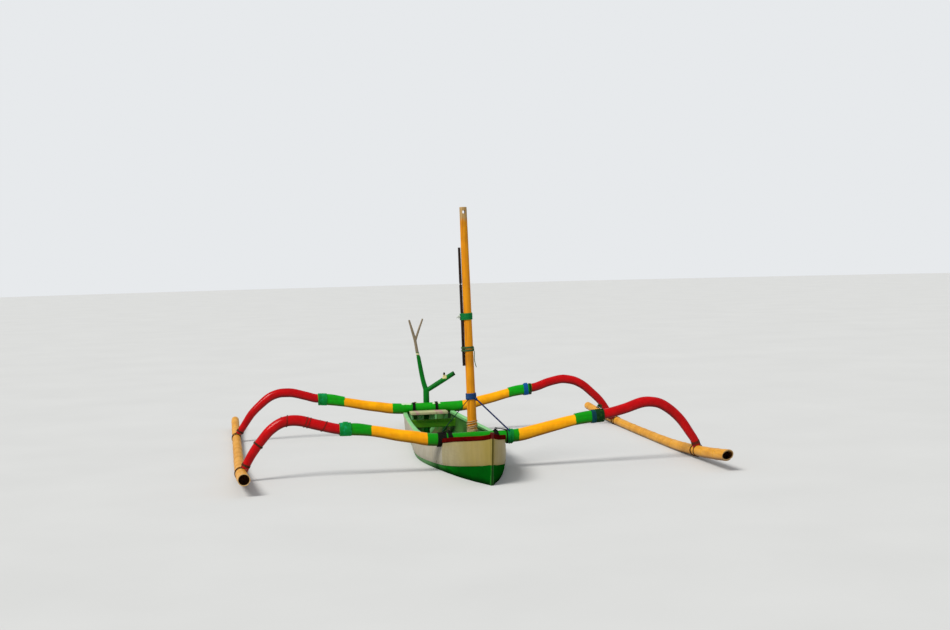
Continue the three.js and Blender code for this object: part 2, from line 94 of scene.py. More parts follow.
def hull_lines(t):
    """The station at place t, from the stern, 0, to the stem, 1."""
    place = min(max(t, 0), 1) * (len(HULL_STATIONS) - 1)
    i = min(int(place), len(HULL_STATIONS) - 2)
    w = place - i
    a, b = HULL_STATIONS[i], HULL_STATIONS[i + 1]
    before = HULL_STATIONS[i - 1] if i else 2 * a - b
    after = HULL_STATIONS[i + 2] if i + 2 < len(HULL_STATIONS) else 2 * b - a
    u, v = (b - before) / 2, (after - a) / 2
    row = ((2 * (a - b) + u + v) * w + 3 * (b - a) - 2 * u - v) * w * w + u * w + a
    station = Station(*row)
    return station._replace(half=max(station.half, END_HALF))


def skin(line, z, out=0.0, lift=0.0):
    """Half breadth at height z of the hull's skin, moved out, over a bottom that is lifted. The
    log swells out below the rails, most of all ahead of amidships."""
    bottom = line.bottom + lift
    depth = min(max((z - bottom) / (line.rail - bottom), 0), 1)
    belly = BELLY * math.exp(-(((line.x - BELLY_X) / BELLY_REACH) ** 2))
    round_side = math.sqrt(1 - (1 - depth) ** 4)
    return max(line.half + out, 0) * round_side + 4 * depth * (1 - depth) * belly


t_samples = np.linspace(0, 1, 1201)
x_samples = [hull_lines(t).x for t in t_samples]


def t_at(x):
    """The place t that lies at x."""
    return float(np.interp(x, x_samples, t_samples))


def station_at(x):
    """The station at x, in metres along the hull."""
    return hull_lines(t_at(x))


# Floor and light: a wide pale floor at the water's level, open inside the hull, under a large
# soft lamp high to starboard and a pale sky.
def srgb(code):
    """The colour of a hex code, as Blender's linear red, green, blue and alpha."""
    parts = [int(code[i : i + 2], 16) / 255 for i in (0, 2, 4)]
    return [c / 12.92 if c <= 0.04045 else ((c + 0.055) / 1.055) ** 2.4 for c in parts] + [1]


def put(tree, kind, inputs=(), **settings):
    """Adds a shader node. A socket given as an input is linked, and a number or colour is set."""
    made = tree.nodes.new(kind)
    for key, value in settings.items():
        setattr(made, key, value)
    for key, value in dict(inputs).items():
        if isinstance(value, bpy.types.NodeSocket):
            tree.links.new(value, made.inputs[key])
        else:
            made.inputs[key].default_value = value
    return made


def mixed(tree, share, a, b):
    """The colour a, turned to b by share."""
    made = put(tree, "ShaderNodeMix", {0: share, 6: a, 7: b}, data_type="RGBA")
    return made.outputs[2]


def mottled(tree, where, scale, detail, roughness=0.5):
    """Soft noise from 0 to 1 over a surface, with a size and fineness."""
    inputs = {"Vector": where, "Scale": scale, "Detail": detail, "Roughness": roughness}
    return put(tree, "ShaderNodeTexNoise", inputs).outputs[0]


def new_material(name):
    """An empty material: its node tree, its place in the object's own frame, and its shader."""
    material = bpy.data.materials.new(name)
    material.use_nodes = True
    tree = material.node_tree
    shader = tree.nodes["Principled BSDF"]
    where = put(tree, "ShaderNodeTexCoord").outputs["Object"]
    return material, tree, where, shader


FLOOR_REACH = 90
FLOOR_TUCK = 0.010
FLOOR_DRAUGHT = -0.02
outline = []
for side in (1, -1):
    for t in np.linspace(0.006, 0.994, 90)[:: -side]:
        line = hull_lines(t)
        outline.append((line.x, side * max(skin(line, 0) - FLOOR_TUCK, 0.003), 0))
points = np.array([p for p in outline if station_at(p[0]).bottom < FLOOR_DRAUGHT])
rim = points / np.linalg.norm(points, axis=1)[:, None] * FLOOR_REACH
count = len(points)
faces = [(i, i + count, (i + 1) % count + count, (i + 1) % count) for i in range(count)]
floor_mesh = bpy.data.meshes.new("floor")
floor_mesh.from_pydata([*points.tolist(), *rim.tolist()], [], faces)
floor = bpy.data.objects.new("floor", floor_mesh)
bpy.context.scene.collection.objects.link(floor)
material, tree, where, shader = new_material("pale_floor")
mottle = mottled(tree, where, 0.7, 3)
tone = mixed(tree, mottle, srgb("c6c6c4"), srgb("cfcfcd"))
tree.links.new(tone, shader.inputs["Base Color"])
shader.inputs["Roughness"].default_value = 0.9
shader.inputs["Specular IOR Level"].default_value = 0.2
floor_mesh.materials.append(material)

world = bpy.data.worlds.new("sky")
world.use_nodes = True
tree = world.node_tree
seen = put(tree, "ShaderNodeLightPath").outputs["Is Camera Ray"]
backdrop = mixed(tree, seen, (0.50, 0.52, 0.55, 1), (0.80, 0.82, 0.84, 1))
tree.links.new(backdrop, tree.nodes["Background"].inputs["Color"])
bpy.context.scene.world = world
lamp_data = bpy.data.lights.new("lamp", "SUN")
lamp_data.energy = 3.0
lamp_data.angle = math.radians(24)
lamp_data.color = (1, 0.985, 0.95)
lamp = bpy.data.objects.new("lamp", lamp_data)
lamp.rotation_euler = Vector((-5, 7, -10)).to_track_quat("-Z", "Y").to_euler()
bpy.context.scene.collection.objects.link(lamp)
bpy.context.scene.view_settings.view_transform = "Standard"


# Hull bottom: a log hollowed and rounded with an adze, painted gloss green outside, with old
# green wash inside, kept dark as painted shade of the hollow. It is darker and slimy near the
# water.
def add_piece(name, verts, faces, material, body, crease=40, **marks):
    """Adds one mesh piece that moves with a body, if one is named, smooth but for edges sharper
    than crease degrees. Each mark is a number for every point, which its material reads by name."""
    mesh = bpy.data.meshes.new(name)
    mesh.from_pydata(np.asarray(verts, float).tolist(), [], faces)
    mesh.validate()
    for mark, values in marks.items():
        made = mesh.attributes.new(mark, "FLOAT", "POINT")
        made.data.foreach_set("value", np.asarray(values, np.float32))
    mesh.shade_smooth()
    mesh.set_sharp_from_angle(angle=math.radians(crease))
    mesh.materials.append(material)
    piece = bpy.data.objects.new(name, mesh)
    bpy.context.scene.collection.objects.link(piece)
    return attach(piece, body) if body else piece


def skin_over(rings):
    """Points and faces over rings that each have the same number of points, with capped ends."""
    rings = np.asarray(rings, float)
    rows, count = rings.shape[:2]
    faces = []
    for i in range(rows - 1):
        a, b = i * count, (i + 1) * count
        faces += [(a + j, a + (j + 1) % count, b + (j + 1) % count, b + j) for j in range(count)]
    ends = np.array([rings[0].mean(0), rings[-1].mean(0)])
    verts = np.vstack([rings.reshape(-1, 3), ends])
    last = (rows - 1) * count
    faces += [(rows * count, (j + 1) % count, j) for j in range(count)]
    faces += [(rows * count + 1, last + j, last + (j + 1) % count) for j in range(count)]
    return verts, faces


def rough(x, y, z, scale, seed=0.0):
    """Smooth noise between about -1 and 1, for hand-made unevenness."""
    return noise.noise(Vector((x / scale + seed, y / scale - seed, z / scale + 2 * seed)))


def new_group(name, inputs, outputs):
    """A shader node group with float or vector inputs and float outputs, and its own sockets."""
    group = bpy.data.node_groups.new(name, "ShaderNodeTree")
    for label, value in inputs.items():
        kind = "NodeSocketFloat" if isinstance(value, (int, float)) else "NodeSocketVector"
        made = group.interface.new_socket(label, in_out="INPUT", socket_type=kind)
        made.default_value = value
    for label in outputs:
        group.interface.new_socket(label, in_out="OUTPUT", socket_type="NodeSocketFloat")
    return group, put(group, "NodeGroupInput").outputs, put(group, "NodeGroupOutput").inputs


def maths(tree, operation, a, b=0.0, clamp=False):
    """Arithmetic on two numbers or sockets, held between 0 and 1 if clamp is set."""
    made = put(tree, "ShaderNodeMath", {0: a, 1: b}, operation=operation, use_clamp=clamp)
    return made.outputs[0]


def times(tree, a, b):
    """The product of two numbers or sockets."""
    return maths(tree, "MULTIPLY", a, b)


def plus(tree, a, b):
    """The sum of two numbers or sockets."""
    return maths(tree, "ADD", a, b)


def axes(tree, vector):
    """The x, y and z of a place or a direction."""
    return put(tree, "ShaderNodeSeparateXYZ", {0: vector}).outputs


def stretched(tree, vector, by):
    """A place scaled by three numbers, which draws noise out into strokes or grain."""
    return put(tree, "ShaderNodeVectorMath", {0: vector, 1: by}, operation="MULTIPLY").outputs[0]


def marked(tree, mark):
    """The marks that add_piece puts on a mesh's points."""
    return put(tree, "ShaderNodeAttribute", attribute_name=mark).outputs["Fac"]


def stepped(tree, value, low, high):
    """0 below low and 1 above high, smooth between."""
    inputs = {0: value, 1: low, 2: high}
    return put(tree, "ShaderNodeMapRange", inputs, interpolation_type="SMOOTHSTEP").outputs[0]


# Brush marks: long streaks, with a slow change of tone over them.
brush_group, get, give = new_group(
    "brush_marks", {"Vector": (0, 0, 0), "Stretch": (1, 1, 1)}, ["Tone", "Height"]
)
streaks = mottled(brush_group, stretched(brush_group, get["Vector"], get["Stretch"]), 1, 5)
slow = mottled(brush_group, get["Vector"], 6, 3)
both = times(brush_group, plus(brush_group, streaks, slow), 0.5)
brush_group.links.new(stepped(brush_group, both, 0.34, 0.66), give["Tone"])
brush_group.links.new(streaks, give["Height"])

# Worn paint: it has gone from the edges that are marked, and from small spots elsewhere.
wear_group, get, give = new_group(
    "worn_paint", {"Vector": (0, 0, 0), "Edge": 0.0, "Amount": 0.5, "Scale": 30.0}, ["Mask"]
)
patches = mottled(wear_group, get["Vector"], get["Scale"], 6, 0.65)
reach = times(wear_group, get["Amount"], plus(wear_group, get["Edge"], 0.12))
level = plus(wear_group, patches, times(wear_group, reach, 0.36))
wear_group.links.new(stepped(wear_group, level, 0.72, 0.76), give["Mask"])

# Grime and painted shade: soft blotches and runs that hang down, more of it low down, and
# painted shade that darkens the faces turned downward.
grime_and_shade_group, get, give = new_group(
    "grime_and_shade", {"Vector": (0, 0, 0), "Low": 0.0, "High": 0.3, "Amount": 0.5, "UndersideShade": 0.0}, ["Mask"]
)
runs = mottled(grime_and_shade_group, stretched(grime_and_shade_group, get["Vector"], (26, 26, 3)), 1, 4)
blots = mottled(grime_and_shade_group, get["Vector"], 9, 5)
heights = {0: axes(grime_and_shade_group, get["Vector"])[2], 1: get["High"], 2: get["Low"]}
lowness = put(grime_and_shade_group, "ShaderNodeMapRange", heights).outputs[0]
both = times(grime_and_shade_group, plus(grime_and_shade_group, runs, blots), 0.5)
dirty = plus(grime_and_shade_group, both, times(grime_and_shade_group, lowness, 0.28))
shown = times(grime_and_shade_group, stepped(grime_and_shade_group, dirty, 0.42, 0.86), get["Amount"])
# Painted shade: faces that turn downward take the grime's colour, by the share for the underside.
facing = put(grime_and_shade_group, "ShaderNodeNewGeometry").outputs["Normal"]
down = axes(grime_and_shade_group, facing)[2]
underside_shade = times(grime_and_shade_group, stepped(grime_and_shade_group, down, -0.30, -0.80), get["UndersideShade"])
grime_and_shade_group.links.new(maths(grime_and_shade_group, "MAXIMUM", shown, underside_shade), give["Mask"])


def soiled_and_shaded(tree, where, colour, soil_and_shade, low, high, amount, underside_shade=0.0):
    """A colour under grime and painted shade on faces turned downward, both of the colour soil, and
    their mask.
    """
    inputs = {"Vector": where, "Low": low, "High": high, "Amount": amount, "UndersideShade": underside_shade}
    mask = put(tree, "ShaderNodeGroup", inputs, node_tree=grime_and_shade_group).outputs["Mask"]
    return mixed(tree, mask, colour, srgb(soil_and_shade)), mask


def spread(tree, share, low, high):
    """A value from low to high, by a share from 0 to 1."""
    return put(tree, "ShaderNodeMapRange", {0: share, 3: low, 4: high}).outputs[0]


def surfaced(tree, shader, colour, roughness, relief, depth, strength, sheen):
    """Joins what varies over a surface to its shader. Relief has a depth and a strength."""
    tree.links.new(colour, shader.inputs["Base Color"])
    tree.links.new(roughness, shader.inputs["Roughness"])
    bump = put(tree, "ShaderNodeBump", {"Height": relief, "Distance": depth, "Strength": strength})
    tree.links.new(bump.outputs[0], shader.inputs["Normal"])
    shader.inputs["Specular IOR Level"].default_value = sheen


def painted(name, tones, stretch, bare, gloss, wear, dirt_and_painted_light, over=None, sheen=0.18, underside_shade=0.0):
    """A painted wood: two tones of the paint in brush strokes, worn through to bare, under dirt,
    which is its colour, the heights between which it thins out, and its amount. The same colour is
    painted as shade on faces turned downward, by the share beneath. The function over gets the
    tree, the place and the paint's colour, and gives the colour that shows."""
    material, tree, where, shader = new_material(name)
    at = {"Vector": where}
    brushed = put(tree, "ShaderNodeGroup", {**at, "Stretch": stretch}, node_tree=brush_group)
    colour = mixed(tree, brushed.outputs["Tone"], srgb(tones[0]), srgb(tones[1]))
    if over:
        colour = over(tree, where, colour)
    edge = {"Edge": marked(tree, "edge"), "Amount": wear}
    worn = put(tree, "ShaderNodeGroup", {**at, **edge}, node_tree=wear_group).outputs["Mask"]
    colour = mixed(tree, worn, colour, srgb(bare))
    # Grime, and painted shade on downward faces, share one colour and one mask.
    colour, grime_and_shade = soiled_and_shaded(tree, where, colour, *dirt_and_painted_light, underside_shade)
    dull = maths(tree, "MAXIMUM", worn, grime_and_shade)
    relief = maths(tree, "SUBTRACT", times(tree, brushed.outputs["Height"], 0.4), worn)
    surfaced(tree, shader, colour, spread(tree, dull, gloss, 0.8), relief, 0.0012, 0.5, sheen)
    return material


def waterline(tree, where, colour):
    """Paint bleached aft and deeper at the bow, and slime in an uneven band over the water."""
    along, _, height = axes(tree, where)
    bleached = times(tree, stepped(tree, along, 2.0, 0.9), 0.8)
    colour = mixed(tree, bleached, colour, srgb("7fa87a"))
    deep = times(tree, stepped(tree, along, 1.7, 2.3), 0.8)
    colour = mixed(tree, deep, colour, srgb("02420a"))
    level = plus(tree, height, times(tree, mottled(tree, where, 14, 4), -0.05))
    slime = stepped(tree, level, 0.045, -0.025)
    inside = marked(tree, "inside")
    fore = plus(tree, times(tree, stepped(tree, along, 1.1, 1.9), 0.75), 0.25)
    outer = maths(tree, "SUBTRACT", times(tree, slime, fore), inside, clamp=True)
    green = mixed(tree, outer, colour, srgb("052507"))
    # Inside: an old green wash over bare patches, kept dark as painted shade of the hollow.
    wash = stepped(tree, mottled(tree, where, 5, 5), 0.42, 0.66)
    lining_and_shade = mixed(tree, wash, srgb("2f6b2b"), srgb("5c5a3a"))
    return mixed(tree, inside, green, lining_and_shade)


HULL_ROWS = 150
HALF_POINTS = 19
STEP = 1e-5
LOG_TOP_GAP = 0.0005
WORN_ABOVE = 0.97
t_rows = [*np.linspace(0, 1, HULL_ROWS), HOLLOW[0], HOLLOW[0] + STEP, HOLLOW[1] - STEP, HOLLOW[1]]
shares = np.linspace(0, 1, HALF_POINTS) ** 2
rings, insides, edges = [], [], []
for t in sorted(t_rows):
    line = hull_lines(t)
    low, top = line.bottom, line.paint - LOG_TOP_GAP
    floor_z = low + HULL_FLOOR
    hollow = HOLLOW[0] < t < HOLLOW[1]
    ring = []
    for side, order in ((1, shares[::-1]), (-1, shares[1:])):
        for share in order:
            z = low + (top - low) * share
            y = skin(line, z)
            adze = 0.0016 * rough(line.x, side * y, z, 0.09)
            adze += 0.0012 * rough(line.x, side * y, z, 0.4, 3)
            z_cut = z - adze * (share < 0.2)
            ring.append((line.x + line.lean * z, side * max(y + adze, 0), z_cut))
            insides.append(0)
            edges.append(float(share > WORN_ABOVE))
    for side, order in ((-1, shares[::-1]), (1, shares[1:])):
        for share in order:
            if hollow:
                z = floor_z + (top - floor_z) * share
                y = skin(line, z, -HULL_WALL, HULL_FLOOR)
                y += 0.003 * rough(line.x, side * y, z, 0.07, 7)
            else:
                z = top
                y = max(skin(line, z) - HULL_WALL, 0.002) * share
            ring.append((line.x + line.lean * z, side * max(y, 0), z))
            insides.append(1)
            edges.append(float(share > WORN_ABOVE))
    rings.append(ring)
verts, faces = skin_over(rings)
marks = {"inside": [*insides, 0, 0], "edge": [*edges, 0, 0]}
green_hull = painted(
    "green_hull_paint", ("045f0c", "0b7414"), stretch=(4, 40, 55), bare="3f5a38", gloss=0.3,
    wear=0.4, dirt_and_painted_light=("0c2a0a", -0.06, 0.06, 0.35), over=waterline, sheen=0.0,
)
hull_bottom = add_piece("hull_bottom_log", verts, faces, green_hull, "canoe", **marks)
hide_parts("hull_bottom")


# Side planks: one sawn plank stands on the log on each side, in two lengths that butt under the
# front boom, pegged down along the seam. Cream paint, yellowed at the bow and chalky further aft.
def strake(t0, t1, side, foot, head, out, inn, bevel, rows=120):
    """Rings of a long piece of the hull's side, with the marks of its edges and of its inner face.
    Foot and head are each a line of the hull and a height over it. The piece lies between the
    skin moved out and the skin moved in, and is solid to the middle at the hull's ends."""
    stops = list(np.linspace(t0, t1, rows))
    for t in HOLLOW:
        if t0 < t < t1:
            stops += [t - STEP, t + STEP]
    eased = [(bevel * (1 - s) ** 1.5, bevel * s**1.5, s) for s in (0.0, 0.3, 1.0)]
    rings, edges, insides = [], [], []
    for t in sorted(stops):
        line = hull_lines(t)
        z0, z1 = (getattr(line, name) + over for name, over in (foot, head))
        hollow = HOLLOW[0] < t < HOLLOW[1]
        rise = [z0 + (z1 - z0) * s for s in (0.25, 0.5, 0.75)]

        def outer(z, inset=0):
            return skin(line, z, out) - inset

        def inner(z, inset=0):
            return max(skin(line, z, -inn, HULL_FLOOR) if hollow else 0.0, 0.0004) + inset

        section = [(outer(z0, inset), z0 + climb, s < 0.5, 0) for inset, climb, s in eased]
        section += [(outer(z), z, 0, 0) for z in rise]
        top = [(inset, z1 - climb, 0.3 + 0.7 * (0.1 < s < 0.5)) for inset, climb, s in eased]
        section += [(outer(z1, inset), z, mark, 0) for inset, z, mark in top[::-1]]
        section += [(inner(z1, inset), z, mark, 1) for inset, z, mark in top]
        section += [(inner(z), z, 0, 1) for z in rise[::-1]]
        section += [(inner(z0, inset), z0 + climb, 0, 1) for inset, climb, s in eased[::-1]]
        ring = []
        for y, z, *_ in section:
            y += 0.0012 * rough(line.x, y * side, z, 0.25, 5) if y > 0.001 else 0
            ring.append((line.x + line.lean * z, side * y, z))
        rings.append(ring)
        edges += [row[2] for row in section]
        insides += [row[3] for row in section]
    return rings, [*edges, 1, 1], [*insides, 0, 0]


def joined(parts):
    """One list of points and faces from several, with their marks."""
    verts, faces, marks = [], [], []
    for part_verts, part_faces, part_marks in parts:
        faces += [tuple(i + len(verts) for i in face) for face in part_faces]
        verts += np.asarray(part_verts).tolist()
        marks += list(part_marks)
    return verts, faces, marks


PEG_RADIUS = 0.006
PEG_PROUD = 0.0015
PEG_SIDES = 14


def peg(at, outward):
    """A low dome, the head of a wooden peg."""
    outward = Vector(outward).normalized()
    across = outward.orthogonal().normalized()
    up = outward.cross(across)
    turn = [2 * math.pi * k / PEG_SIDES for k in range(PEG_SIDES)]
    rings = []
    dome = (1.0, PEG_PROUD * 0.4), (0.72, PEG_PROUD * 0.85), (0.3, PEG_PROUD)
    for size, lift in ((1.0, -0.003), *dome):
        spokes = [(across * math.cos(a) + up * math.sin(a)) * PEG_RADIUS * size for a in turn]
        rings.append([tuple(Vector(at) + outward * lift + spoke) for spoke in spokes])
    verts, faces = skin_over(rings)
    return verts, faces, [(1, 0)] * len(verts)


def plank_tones(tree, where, colour):
    """The length aft of the front boom is paler and greyer, the stem's end is yellowed, and the
    inner face is washed green, kept dark as painted shade inside the hull."""
    along = axes(tree, where)[0]
    colour = mixed(tree, stepped(tree, along, 1.95, 2.62), colour, srgb("8e7d3a"))
    colour = mixed(tree, stepped(tree, along, 1.803, 1.797), colour, srgb("a29c8a"))
    cloud = mottled(tree, where, 3.2, 3)
    stains = times(tree, stepped(tree, cloud, 0.45, 0.75), 0.3)
    colour = mixed(tree, stains, colour, srgb("a08e62"))
    inside = marked(tree, "inside")
    # The inner face's green is real paint, darkened as painted shade of the hull's inside.
    lining_and_shade = mixed(tree, stepped(tree, cloud, 0.4, 0.6), srgb("3f7a34"), srgb("2c5a26"))
    return mixed(tree, inside, colour, lining_and_shade)


SIDES = {"port": 1, "starboard": -1}
PLANK_BUTT = 1.800
PLANK_SEAM = 0.0012
PLANK_OUT = 0.0022
PLANK_EASE = 0.004
PEG_X = [*np.arange(-2.1, 2.5, 0.31), PLANK_BUTT - 0.035, PLANK_BUTT + 0.04]
PEG_HEIGHT = 0.022
butt = t_at(PLANK_BUTT)
cream = painted(
    "cream_plank_paint", ("938863", "9c926e"), stretch=(5, 40, 60), bare="7d6c48", gloss=0.42,
    wear=0.4, dirt_and_painted_light=("57502f", 0.02, 0.42, 0.2), over=plank_tones,
)
for name, side in SIDES.items():
    parts = []
    foot, head = ("paint", PLANK_SEAM), ("rail", -RAIL_HEIGHT)
    for t0, t1 in ((0.0, butt - 0.0003), (butt + 0.0003, 1.0)):
        board_form = strake(t0, t1, side, foot, head, PLANK_OUT, HULL_WALL, PLANK_EASE)
        parts.append((*skin_over(board_form[0]), zip(*board_form[1:])))
    for x in PEG_X:
        line = station_at(x)
        z = line.paint + PEG_HEIGHT
        y = skin(line, z, PLANK_OUT)
        flare = (skin(line, z + 0.02, PLANK_OUT) - y) / 0.02
        at = (line.x + line.lean * z, side * y, z)
        parts.append(peg(at, (0, side, -flare)))
    verts, faces, marks = joined(parts)
    edges, insides = zip(*marks)
    marks = {"edge": edges, "inside": insides}
    label = f"side_plank_{name}_boards"
    plank = add_piece(label, verts, faces, cream, "canoe", crease=34, **marks)
    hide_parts(f"side_plank_{name}")

# Rails: a squared batten caps each plank, in lengths that butt under the booms. Maroon at the
# bow, rubbed pink along its edges, cream with a pale green top amidships, and cream at the stern.
RAIL_OUT = 0.012
RAIL_IN = 0.014
RAIL_EASE = 0.008
RAIL_ROWS = 90
MAROON_DEPTH = 0.043
ALONG_X = (5, 40, 40)
maroon = painted(
    "maroon_rail_paint", ("400403", "560806"), stretch=ALONG_X, bare="8a4038", gloss=0.45,
    wear=0.3, dirt_and_painted_light=("2b0f0c", 0.2, 0.4, 0.2), sheen=0.0,
)


def cream_side(tree, where, colour):
    """The green is brushed on the top and inside, and the outer face stays cream."""
    facing = axes(tree, put(tree, "ShaderNodeNewGeometry").outputs["Normal"])
    starboard = maths(tree, "LESS_THAN", axes(tree, where)[1], 0)
    outward = times(tree, facing[1], maths(tree, "SUBTRACT", 1, times(tree, starboard, 2)))
    return mixed(tree, stepped(tree, outward, 0.72, 0.86), colour, srgb("a39c86"))


green_wash = {
    "tones": ("6fb86c", "86c684"), "stretch": ALONG_X, "bare": "9c9a78", "gloss": 0.45,
    "wear": 0.45, "dirt_and_painted_light": ("40502f", 0.0, 0.3, 0.2),
}
pale_green = painted("pale_green_paint", **green_wash)
rail_green = painted("pale_green_rail_paint", **green_wash, over=cream_side)
pale_cream = painted(
    "pale_rail_paint", ("cfc6a6", "e0d8bc"), stretch=ALONG_X, bare="8f8064", gloss=0.5,
    wear=0.4, dirt_and_painted_light=("57502f", 0.0, 0.5, 0.2),
)
BOOM_X = {"front": 1.750, "rear": -1.350}
t_front, t_rear = t_at(BOOM_X["front"]), t_at(BOOM_X["rear"])
RAILS = {
    "fore": (t_front, 1.0, maroon, "maroon_paint", MAROON_DEPTH),
    "middle": (t_rear, t_front, rail_green, "pale_green_paint", RAIL_HEIGHT),
    "aft": (0.0, t_rear, pale_cream, "cream_paint", RAIL_HEIGHT),
}
for stretch, (t0, t1, material, slot, depth) in RAILS.items():
    for name, side in SIDES.items():
        foot, head, inn = ("rail", -depth), ("rail", 0), HULL_WALL + RAIL_IN
        rings, edges, _ = strake(t0, t1, side, foot, head, RAIL_OUT, inn, RAIL_EASE, RAIL_ROWS)
        verts, faces = skin_over(rings)
        label = f"rail_{stretch}_{name}_batten"
        rail = add_piece(label, verts, faces, material, "canoe", crease=34, edge=edges)
        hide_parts(f"rail_{stretch}_{name}")

# Stem and stern posts: a hewn post covers the ends of the planks, narrow at its front edge.
# Olive paint, almost bare, with the maroon of the rails brought across the stem's head.
POST_DEPTH = 0.046
POST_NOSE = 0.014


def post_tones(tree, where, colour):
    """The nose is dark olive, and the cheeks go on with the plank's cream. Both are green below
    the log's paint line, and the rails' maroon goes on across the stem's head."""
    along, across, height = axes(tree, where)
    cheek = stepped(tree, maths(tree, "ABSOLUTE", across), 0.0088, 0.0102)
    colour = mixed(tree, cheek, colour, srgb("9a8a4a"))
    bow = maths(tree, "GREATER_THAN", along, 0)
    paint_line = plus(tree, times(tree, bow, 0.064), 0.128)
    low = stepped(tree, maths(tree, "SUBTRACT", height, paint_line), 0.002, -0.002)
    colour = mixed(tree, low, colour, mixed(tree, cheek, srgb("053a08"), srgb("0a6a10")))
    return mixed(tree, stepped(tree, height, 0.436, 0.440), colour, srgb("52080a"))


olive = painted(
    "olive_post_paint", ("4a4312", "584f1c"), stretch=(40, 40, 5), bare="5f5428", gloss=0.5,
    wear=0.2, dirt_and_painted_light=("2a2a14", 0.0, 0.2, 0.4), over=post_tones, sheen=0.1,
)
for name, t, ahead in (("stem_post", 1.0, 1), ("stern_post", 0.0, -1)):
    line = hull_lines(t)
    rings, edges = [], []
    bottom, head = line.bottom - 0.008, line.rail + 0.012
    heights = [bottom, bottom + 0.004, *np.linspace(bottom + 0.02, head - 0.02, 22)]
    for z in [*heights, head - 0.006, head]:
        end = min(1, (z - bottom) / 0.02, (head - z) / 0.006 + 0.5)
        nose = POST_NOSE * min(1, max((z - bottom) / 0.06, 0))
        cheek = [(-POST_DEPTH, 0.016), (-POST_DEPTH * 0.5, 0.0168), (-0.006, 0.017)]
        cheek += [(nose * 0.5, 0.0115), (nose * 0.9, 0.0055), (nose, 0.0035)]
        ring = []
        for along, across in cheek + [(along, -across) for along, across in cheek[::-1]]:
            along = along * (0.86 + 0.14 * end)
            wave = 0.0008 * rough(z, across, along, 0.05, 9)
            x = line.x + line.lean * z + ahead * (along + wave)
            ring.append((x, across * (0.8 + 0.2 * end) + wave, z))
        rings.append(ring)
        edges += [0.2, 0, 0, 0.6, 1, 1, 1, 1, 0.6, 0, 0, 0.2]
    verts, faces = skin_over(rings)
    edges = [*edges, 1, 1]
    post = add_piece(f"{name}_hewn", verts, faces, olive, "canoe", crease=50, edge=edges)
    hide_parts(name)

# Ribs and mast step: grown frames fit the inside of the hull, and a block on the floor takes the
# mast's foot. Pale green wash over bare wood.
RIBS = {"rib_fore": 0.900, "rib_middle": -0.080, "rib_aft": -1.900}
RIB_HALF = 0.016
RIB_DEPTH = 0.034
RIB_GAP = 0.0003
RIB_SECTION = ((-1, 0), (-1, 0.6), (-0.75, 0.93), (0, 1), (0.75, 0.93), (1, 0.6), (1, 0))
for name, x in RIBS.items():
    line = station_at(x)
    top = line.rail - RAIL_HEIGHT - 0.001
    foot = line.bottom + HULL_FLOOR + RIB_GAP
    rings, edges = [], []
    for step in np.linspace(-1, 1, 57):
        share = step * step
        z = foot + (top - foot) * share
        side = -1 if step < 0 else 1
        outer_y = skin(line, z, -HULL_WALL - RIB_GAP, HULL_FLOOR + RIB_GAP)
        lift = RIB_DEPTH * (1.15 - 0.15 * share)
        inner_z = foot + lift + (top - foot - lift) * share
        inner_y = skin(line, inner_z, -HULL_WALL - RIB_DEPTH, HULL_FLOOR + lift)
        ring = []
        for s, d in RIB_SECTION:
            y = side * (outer_y + (inner_y - outer_y) * d)
            wave = 0.0015 * rough(x + s, y, z, 0.06, 4)
            ring.append((x + s * RIB_HALF + wave, y, z + (inner_z - z) * d + wave * d))
        rings.append(ring)
        edges += [0, 0.4, 1, 0.3, 1, 0.4, 0]
    verts, faces = skin_over(rings)
    edges = [*edges, 1, 1]
    rib = add_piece(f"{name}_grown", verts, faces, pale_green, "canoe", crease=50, edge=edges)
    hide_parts(name)
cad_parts["mast_step"].data.materials.clear()
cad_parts["mast_step"].data.materials.append(olive)


# Thwart: a cream board on four short posts, over a green board that spans the hull. All sawn and
# hand painted, with the cream rubbed pink towards both ends.
def board(x, y, z, bevel, cuts=(2, 12, 1)):
    """A sawn board between two corners, with eased and slightly uneven edges, and edge marks."""
    grids = []
    for (low, high), n in zip((x, y, z), cuts):
        inner = np.linspace(low + bevel, high - bevel, n + 1)
        grids.append([low, low + bevel * 0.35, *inner, high - bevel * 0.35, high])
    index, verts, marks, faces = {}, [], [], []
    sizes = [len(g) for g in grids]
    centre = [sum(v) / 2 for v in (x, y, z)]
    ends = [(v[0] + bevel, v[1] - bevel) for v in (x, y, z)]

    def corner(i, j, k):
        if (i, j, k) not in index:
            p = [grids[0][i], grids[1][j], grids[2][k]]
            core = [min(max(c, e[0]), e[1]) for c, e in zip(p, ends)]
            away = Vector(p) - Vector(core)
            if away.length > 1e-9:
                away = away.normalized() * min(away.length, bevel)
            spot = Vector(core) + away
            wave = 0.0010 * rough(*spot, 0.08, 6)
            off_middle = [abs(s - c) > 1e-4 for s, c in zip(spot, centre)]
            spot += Vector([wave if off else 0 for off in off_middle])
            index[i, j, k] = len(verts)
            verts.append(tuple(spot))
            outside = sum(not e[0] < c < e[1] for c, e in zip(p, ends))
            marks.append(1.0 if outside > 1 else 0.0)
        return index[i, j, k]

    for axis in range(3):
        u, v = [a for a in range(3) if a != axis]
        for end in (0, sizes[axis] - 1):
            for a in range(sizes[u] - 1):
                for b in range(sizes[v] - 1):
                    quad = []
                    for da, db in ((0, 0), (1, 0), (1, 1), (0, 1)):
                        spot = [0, 0, 0]
                        spot[axis], spot[u], spot[v] = end, a + da, b + db
                        quad.append(corner(*spot))
                    flip = (end == 0) != (axis == 1)
                    faces.append(tuple(quad[::-1] if flip else quad))
    return verts, faces, marks


def between(tree, value, rise, fall):
    """1 between two edges that each run from a first value to a second, and 0 outside them."""
    return times(tree, stepped(tree, value, *rise), stepped(tree, value, *fall))


